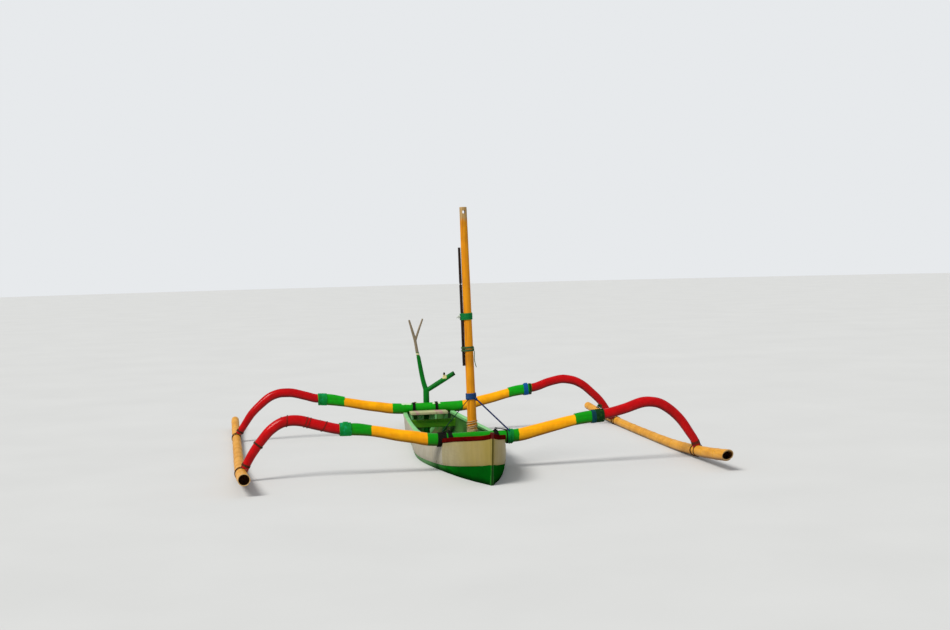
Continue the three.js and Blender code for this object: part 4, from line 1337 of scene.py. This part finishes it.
# Boom lashings: black rope ties the front boom down at each rail, inside and outside it, and goes
# in two bands round the rear boom over the thwart. A green rope is wound next to the port one.
black_rope = rope_material("black_rope", ("0b0a08", "15120e"), "2c281f", 0.2)
BOOM_LASHINGS = {
    "boom_lashing_front_port": ("front", [(0.193, 0.251), (0.322, 0.344)]),
    "boom_lashing_front_starboard": ("front", [(-0.251, -0.193), (-0.352, -0.258)]),
    "boom_lashing_rear_port": ("rear", [(0.079, 0.115)]),
    "boom_lashing_rear_starboard": ("rear", [(-0.196, -0.151)]),
}
BLACK_ROPE = 0.0042
GREEN_ROPE = 0.0040
for name, (row, groups) in BOOM_LASHINGS.items():
    line, radius = BOOMS[row]["line"], BLACK_ROPE
    paths, tops = [], []
    for low, high in groups:
        ends = [line[nearest(line[:, 1], y)] for y in (low, high)]
        along = (ends[1] - ends[0]) / np.linalg.norm(ends[1] - ends[0])
        ends = [ends[0] + along * radius, ends[1] - along * radius]
        up = np.cross((1, 0, 0), along)
        size = ramp(BOOM_RADII, abs(low) / BOOM_LENGTH + 0.5) + 0.0015
        turns = max(math.dist(*ends) / (radius * 2.05), 2.2)
        paths.append(coil(*ends, (1, 0, 0), up, [(0, 0, size)], radius, turns, low))
        tops.append((ends[0] + ends[1]) / 2 + up * (size + radius * 2.4))
    if len(tops) > 1:
        for way in (1, -1):
            sway = np.array([0.030 * way, 0, -0.008])
            crossing = [tops[0] - sway * [1, 0, 2], sum(tops) / 2 + [0, 0, 0.004], tops[1] + sway]
            paths.append(smooth_line(crossing, 24))
        paths.append(knot_path(tops[0], (0, 0, 1), 0.011))
    piece = add_rope(f"{name}_turns", paths, radius, black_rope, "canoe", "black_rope")
    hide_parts(name)
line = BOOMS["front"]["line"]
paths = []
for low, high, turns, over in ((0.346, 0.398, 6, 0.0015), (0.362, 0.384, 1.5, 0.007)):
    ends = [line[nearest(line[:, 1], y)] for y in (low, high)]
    size = ramp(BOOM_RADII, 0.5 + low / BOOM_LENGTH) + over
    paths.append(coil(*ends, (1, 0, 0), (0, 0, 1), [(0, 0, size)], GREEN_ROPE, turns, low))
name = "boom_rope_front_port_turns"
add_rope(name, paths, GREEN_ROPE, painted_rope, "canoe", "green_rope")


# Mast: a tapered pole stands in its step just behind the front boom, and its round heel lets it
# lower aft. Oiled timber in orange paint, bare and split at the head, with a square halyard hole.
def timber(name, tones, bare, bare_from, streak="7a4a12"):
    """Wood grain along Z, painted or oiled in two tones, and grey and bare above a height."""
    material, tree, where, shader = new_material(name)
    grain = mottled(tree, stretched(tree, where, (70, 70, 2.2)), 1, 7, 0.6)
    cloud = mottled(tree, where, 5, 4)
    colour = mixed(tree, stepped(tree, grain, 0.34, 0.62), srgb(tones[0]), srgb(tones[1]))
    dark = times(tree, stepped(tree, grain, 0.40, 0.32), 0.55)
    colour = mixed(tree, dark, colour, srgb(streak))
    colour = mixed(tree, times(tree, stepped(tree, cloud, 0.5, 0.8), 0.5), colour, srgb(streak))
    ragged = plus(tree, axes(tree, where)[2], times(tree, grain, 0.12))
    weathered = mixed(tree, stepped(tree, grain, 0.35, 0.6), srgb(bare[0]), srgb(bare[1]))
    above = stepped(tree, ragged, bare_from + 0.04, bare_from + 0.09)
    colour = mixed(tree, above, colour, weathered)
    surfaced(tree, shader, colour, spread(tree, cloud, 0.42, 0.7), grain, 0.0015, 0.6, 0.15)
    return material


MAST_X = 1.618
MAST_Y = 0.028
MAST_LEAN = math.radians(0.95)
MAST_HEEL = -0.070
MAST_TOP = 2.571
MAST_RADII = (0.052, 0.0465, 0.043, 0.0405, 0.0395, 0.0385, 0.035)
MAST_SIDES = 48
HEEL_ROUND = 0.0515
HEAD_EASE = {2.5665: 0.0005, 2.5685: 0.0022, 2.569: 0.0045}
HALYARD_HOLE = (-0.014, 0.014), (2.506, 2.534)
pivot = MAST_HEEL + MAST_RADII[0]


def mast_radius(z):
    """The mast's radius at height z above the water."""
    return ramp(MAST_RADII, (z - MAST_HEEL) / (MAST_TOP - MAST_HEEL))


def leaned(points):
    """Points of an upright mast over the centreline, set down where it stands, leaning over."""
    x, y, z = np.asarray(points, float).reshape(-1, 3).T
    z = z - pivot
    sine, cosine = math.sin(MAST_LEAN), math.cos(MAST_LEAN)
    return np.stack([x, MAST_Y + y * cosine - z * sine, pivot + y * sine + z * cosine], axis=1)


def applied(piece):
    """The mesh of a piece with its modifiers worked in, which it keeps."""
    bpy.context.view_layer.update()
    shown = piece.evaluated_get(bpy.context.evaluated_depsgraph_get())
    mesh = bpy.data.meshes.new_from_object(shown)
    piece.modifiers.clear()
    piece.data = mesh
    return mesh


mast_timber = timber("mast_timber", ("ca7a04", "dc900a"), ("9a7a4c", "b8965f"), 2.440)
rings = []
levels = [pivot - HEEL_ROUND * math.cos(a) for a in np.linspace(0.12, math.pi / 2, 9)[:-1]]
levels += [*np.arange(pivot + 0.001, MAST_TOP - 0.012, 0.018), 2.561, *HEAD_EASE]
for z in levels:
    size = math.sqrt(max(HEEL_ROUND**2 - (z - pivot) ** 2, 0))
    if z > pivot:
        size = mast_radius(z) - HEAD_EASE.get(z, 0)
    ring = []
    for k in range(MAST_SIDES):
        angle = 2 * math.pi * k / MAST_SIDES
        adzed = rough(math.cos(angle) * 0.2, math.sin(angle) * 0.2, z * 0.35, 0.11, 11)
        adzed *= 0.0011
        split = 0.006 * math.exp(-(((k - 31) / 0.8) ** 2)) * max(0, min(1, (z - 2.30) / 0.2))
        r = size + (adzed if z > 0 else 0) - split
        ring.append((MAST_X + r * math.cos(angle), r * math.sin(angle), z))
    rings.append(ring)
verts, faces = skin_over(rings)
mast = add_piece("mast_pole", leaned(verts), faces, mast_timber, "mast", crease=50)
verts, faces, _ = board((MAST_X - 0.1, MAST_X + 0.1), *HALYARD_HOLE, 0.003)
cutter = add_piece("halyard_hole_tool", leaned(verts), faces, mast_timber, "mast")
carve = mast.modifiers.new("hole", "BOOLEAN")
carve.object = cutter
carve.solver = "EXACT"
applied(mast).set_sharp_from_angle(angle=math.radians(45))
bpy.data.objects.remove(cutter)
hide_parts("mast")

# Side pole: a thin stick of dark wood is bound along the starboard side of the mast, over its
# middle. It is left rough, so it bends a little and has low knots.
POLE_RADII = (0.0132, 0.014, 0.0138, 0.0125)
dark_wood = timber("dark_side_pole", ("170c06", "2a1a10"), ("3a2a20", "4a382c"), 3.0, "0a0604")
pole_y = -(0.0405 + 0.015)
line = [(MAST_X, pole_y - 0.001, 1.015), (MAST_X + 0.002, pole_y, 1.4)]
line += [(MAST_X - 0.002, pole_y, 1.8), (MAST_X, pole_y, 2.175)]
bumps = [(0.2, 0.5, 0.002), (0.46, 2.6, 0.002), (0.71, -1.4, 0.002)]
swellings = {"uneven": 0.04, "seed": 2.4, "knots": bumps}
rings = pole_rings(smooth_line(line, 90), (1, 0, 0), POLE_RADII, sides=18, **swellings)
verts, faces = skin_over(rings)
side_pole = add_piece("mast_side_stick", leaned(verts), faces, dark_wood, "mast", crease=50)
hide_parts("mast_side_pole")

# Mast lashings: a broad green binding, with a knot of pale cord, and a thinner olive one hold the
# side pole. A dark blue one takes the stay, and pale turns at the foot are wound on the bare pole.
BINDING = 0.0046
OLIVE_ROPE = 0.0044
BLUE_ROPE = 0.0050
FOOT_ROPE = 0.0042
olive_rope = rope_material("olive_rope", ("2f5230", "4c6c42"), "6a7c56")
foot_rope = rope_material("pale_foot_rope", ("a88a5c", "cdb288"), "e4d8bc", 0.6)
green_binding = rope_material("green_binding_rope", ("067334", "0d8a43"), "4f9a5f")


def mast_coil(low, high, radius, with_pole, turns=None, seed=0.0):
    """Turns of rope round the upright mast, and round its side pole too, between two heights."""
    circles = [(0, 0, mast_radius((low + high) / 2))]
    if with_pole:
        circles.append((0, pole_y, 0.0142))
    ends = ((MAST_X, 0, low + radius), (MAST_X, 0, high - radius))
    turns = turns or (high - low) / (radius * 2.05)
    return coil(*ends, (1, 0, 0), (0, 1, 0), circles, radius, turns, seed)


def add_mast_rope(name, paths, radius, material, slot):
    """A rope whose path was laid on the upright mast, set over to the lean of the real one."""
    return add_rope(name, [leaned(path) for path in paths], radius, material, "mast", slot)


paths = [mast_coil(1.460, 1.538, BINDING, True, seed=1)]
paths.append(mast_coil(1.474, 1.520, BINDING, True, turns=1.4, seed=6))
name = "mast_lashing_upper_turns"
piece = add_mast_rope(name, paths, BINDING, green_binding, "green_paint")
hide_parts("mast_lashing_upper")
pale_cord = rope_material("pale_cord", ("aab4a6", "d6dcd0"), "8f9a86")
knot_at = (MAST_X + 0.014, pole_y - 0.030, 1.496)
paths = [knot_path(knot_at, (0.3, -0.9, 0), 0.013)]
tail_x = MAST_X + 0.016
tail = [knot_at, (tail_x, pole_y - 0.046, 1.500), (tail_x, pole_y - 0.056, 1.484)]
paths.append(smooth_line(tail, 12))
add_mast_rope("mast_lashing_upper_knot", paths, BINDING, pale_cord, "brown_rope")

paths = [mast_coil(1.153, 1.176, BINDING, True, turns=2.6, seed=2)]
paths.append(mast_coil(1.180, 1.205, BINDING, True, turns=2.8, seed=3))
knot_reach = mast_radius(1.18) * 0.72
knot_at = (MAST_X + knot_reach + 0.006, knot_reach + 0.006, 1.178)
paths.append(knot_path(knot_at, (0.7, 0.7, 0), 0.012))
tail = [(0.036, 0.046, 1.150), (0.034, 0.044, 1.080), (0.035, 0.050, 1.035), (0.036, 0.060, 0.996)]
paths.append(smooth_line([knot_at, *[(MAST_X + x, y, z) for x, y, z in tail]], 40))
piece = add_mast_rope("mast_lashing_middle_turns", paths, OLIVE_ROPE, olive_rope, "green_rope")
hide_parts("mast_lashing_middle")

paths = [mast_coil(0.677, 0.747, BLUE_ROPE, False, seed=4)]
paths.append(mast_coil(0.690, 0.732, BLUE_ROPE, False, turns=1.3, seed=8))
stay_knot = (MAST_X + 0.034, 0.046, 0.684)
paths.append(knot_path(stay_knot, (0.6, 0.8, 0), 0.014))
piece = add_mast_rope("mast_lashing_blue_turns", paths, BLUE_ROPE, blue_rope, "blue_rope")
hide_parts("mast_lashing_blue")

paths = [mast_coil(0.352, 0.392, FOOT_ROPE, False, seed=5)]
for low, high, stand_off, turns, seed in (
    (0.384, 0.452, FOOT_ROPE, 1.4, 7),
    (0.410, 0.505, 0.0055, 1.2, 9),
    (0.365, 0.455, 0.0050, 1.1, 4),
    (0.395, 0.480, 0.0055, 1.6, 12),
):
    paths.append(mast_coil(low, high, stand_off, False, turns, seed))
add_mast_rope("mast_foot_turns", paths, FOOT_ROPE, foot_rope, "brown_rope")

# Stay: one taut blue rope runs from the mast's blue lashing down to the port end of the front
# boom's lashing.
STAY_RADIUS = 0.0085
stay_rope = rope_material("navy_stay_rope", ("0a1c48", "14306a"), "1f4478")
stay_foot = (1.798, 0.370, 0.364)
stay_head = tuple(leaned(stay_knot)[0])
verts, faces, strand = rope_mesh(smooth_line([stay_foot, stay_head], 30), STAY_RADIUS)
stay = add_piece("mast_stay", verts, faces, stay_rope, None, crease=80, strand=strand)
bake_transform(stay)

# Second stay: a thinner line of dark teal cord runs from the blue lashing's other side down to the
# front boom's lashing on the starboard side.
GUY_RADIUS = 0.0045
guy_foot = (1.752, -0.300, 0.392)
guy_head = tuple(leaned((MAST_X + 0.040, -0.030, 0.690))[0])
verts, faces, strand = rope_mesh(smooth_line([guy_foot, guy_head], 24), GUY_RADIUS)
guy_rope = rope_material("dark_teal_line", ("08201c", "12342e"), "2f5a4c")
guy = add_piece("mast_guy", verts, faces, guy_rope, None, crease=80, strand=strand)
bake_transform(guy)

# Crutch: a forked green branch stands on the hull's floor against the rear boom, to carry the
# lowered mast. The paint stops at a pale ring, where bare grey twigs go on.
CRUTCH_X = -1.454
CRUTCH_LIMBS = [
    (
        [(-0.010, -0.145), (-0.007, 0.215), (-0.005, 0.520)],
        (0.0365, 0.0355, 0.0355),
    ),
    (
        [(-0.008, 0.505), (-0.036, 0.605), (-0.062, 0.745), (-0.087, 0.905)],
        (0.031, 0.028, 0.026, 0.023),
    ),
    (
        [(-0.006, 0.494), (0.079, 0.542), (0.193, 0.609), (0.340, 0.694)],
        (0.028, 0.030, 0.030, 0.027),
    ),
    (
        [(-0.086, 0.895), (-0.103, 0.975), (-0.122, 1.095), (-0.188, 1.345)],
        (0.020, 0.017, 0.016, 0.011),
    ),
    (
        [(-0.122, 1.085), (-0.082, 1.205), (-0.024, 1.355)],
        (0.014, 0.013, 0.010),
    ),
    (
        [(0.212, 0.630), (0.216, 0.668), (0.218, 0.704)],
        (0.015, 0.014, 0.012),
    ),
]


def bare_twigs(tree, where, colour):
    """Grey bark above a pale ring, a pale scar with a dark stub on the side limb, a dark tip."""
    _, across, height = axes(tree, where)
    bark = mottled(tree, where, 60, 5)
    twig = mixed(tree, bark, srgb("6f6250"), srgb("9a8a72"))
    colour = mixed(tree, stepped(tree, height, 0.955, 0.960), colour, twig)
    ring = between(tree, height, (0.925, 0.929), (0.950, 0.946))
    colour = mixed(tree, ring, colour, srgb("cfc39a"))
    near = between(tree, across, (0.245, 0.237), (0.188, 0.196))
    scar = times(tree, near, stepped(tree, height, 0.628, 0.636))
    colour = mixed(tree, scar, colour, srgb("c9bd84"))
    stub = times(tree, near, stepped(tree, height, 0.674, 0.680))
    colour = mixed(tree, stub, colour, srgb("2b2118"))
    return mixed(tree, stepped(tree, across, 0.300, 0.330), colour, srgb("0d3a16"))


crutch_green = painted(
    "green_crutch_paint", ("046016", "0a7a20"), stretch=(30, 30, 5), bare="6f7a3a", gloss=0.4,
    wear=0.4, dirt_and_painted_light=("0f3a14", 0.2, 0.9, 0.25), over=bare_twigs, sheen=0.08,
)
parts = []
for points, radii in CRUTCH_LIMBS:
    line = smooth_line([(CRUTCH_X, y, z) for y, z in points], 40)
    seed = len(points) + points[0][1]
    rings = pole_rings(line, (1, 0, 0), radii, sides=16, uneven=0.05, seed=seed)
    parts.append((*skin_over(rings), []))
verts, faces, _ = joined(parts)
crutch = add_piece("crutch_branch", verts, faces, crutch_green, "canoe", crease=180)
melt = crutch.modifiers.new("melt", "REMESH")
melt.mode = "VOXEL"
melt.voxel_size = 0.0032
ease = crutch.modifiers.new("ease", "SMOOTH")
ease.iterations = 6
applied(crutch).shade_smooth()
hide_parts("crutch")

# Arm wraps: thin brown cord is taken round the red paint of the front arm to starboard, in close
# turns at its outer crack and in long slanting ones along the rest.
WRAP_CORD = 0.0030
ARM_WRAPS = {
    "outer": (-2.071, 0.020, 3.3),
    "middle": (-1.800, 0.080, 1.3),
    "inner": (-1.602, 0.070, 2.3),
    "last": (-1.450, 0.090, 1.3),
}
line = arm_lines["front", "starboard"]
for label, (place, length, turns) in ARM_WRAPS.items():
    i = nearest(line[:, 1], place)
    along = line[i + 1] - line[i - 1]
    along /= np.linalg.norm(along)
    up = np.cross((1, 0, 0), along)
    size = ramp(ARM_RADII, i / (len(line) - 1)) + 0.001
    ends = line[i] - along * length / 2, line[i] + along * length / 2
    path = coil(*ends, (1, 0, 0), up, [(0, 0, size)], WRAP_CORD, turns, place)
    add_rope(f"arm_wrap_{label}", [path], WRAP_CORD, brown_rope, "canoe", "brown_rope")
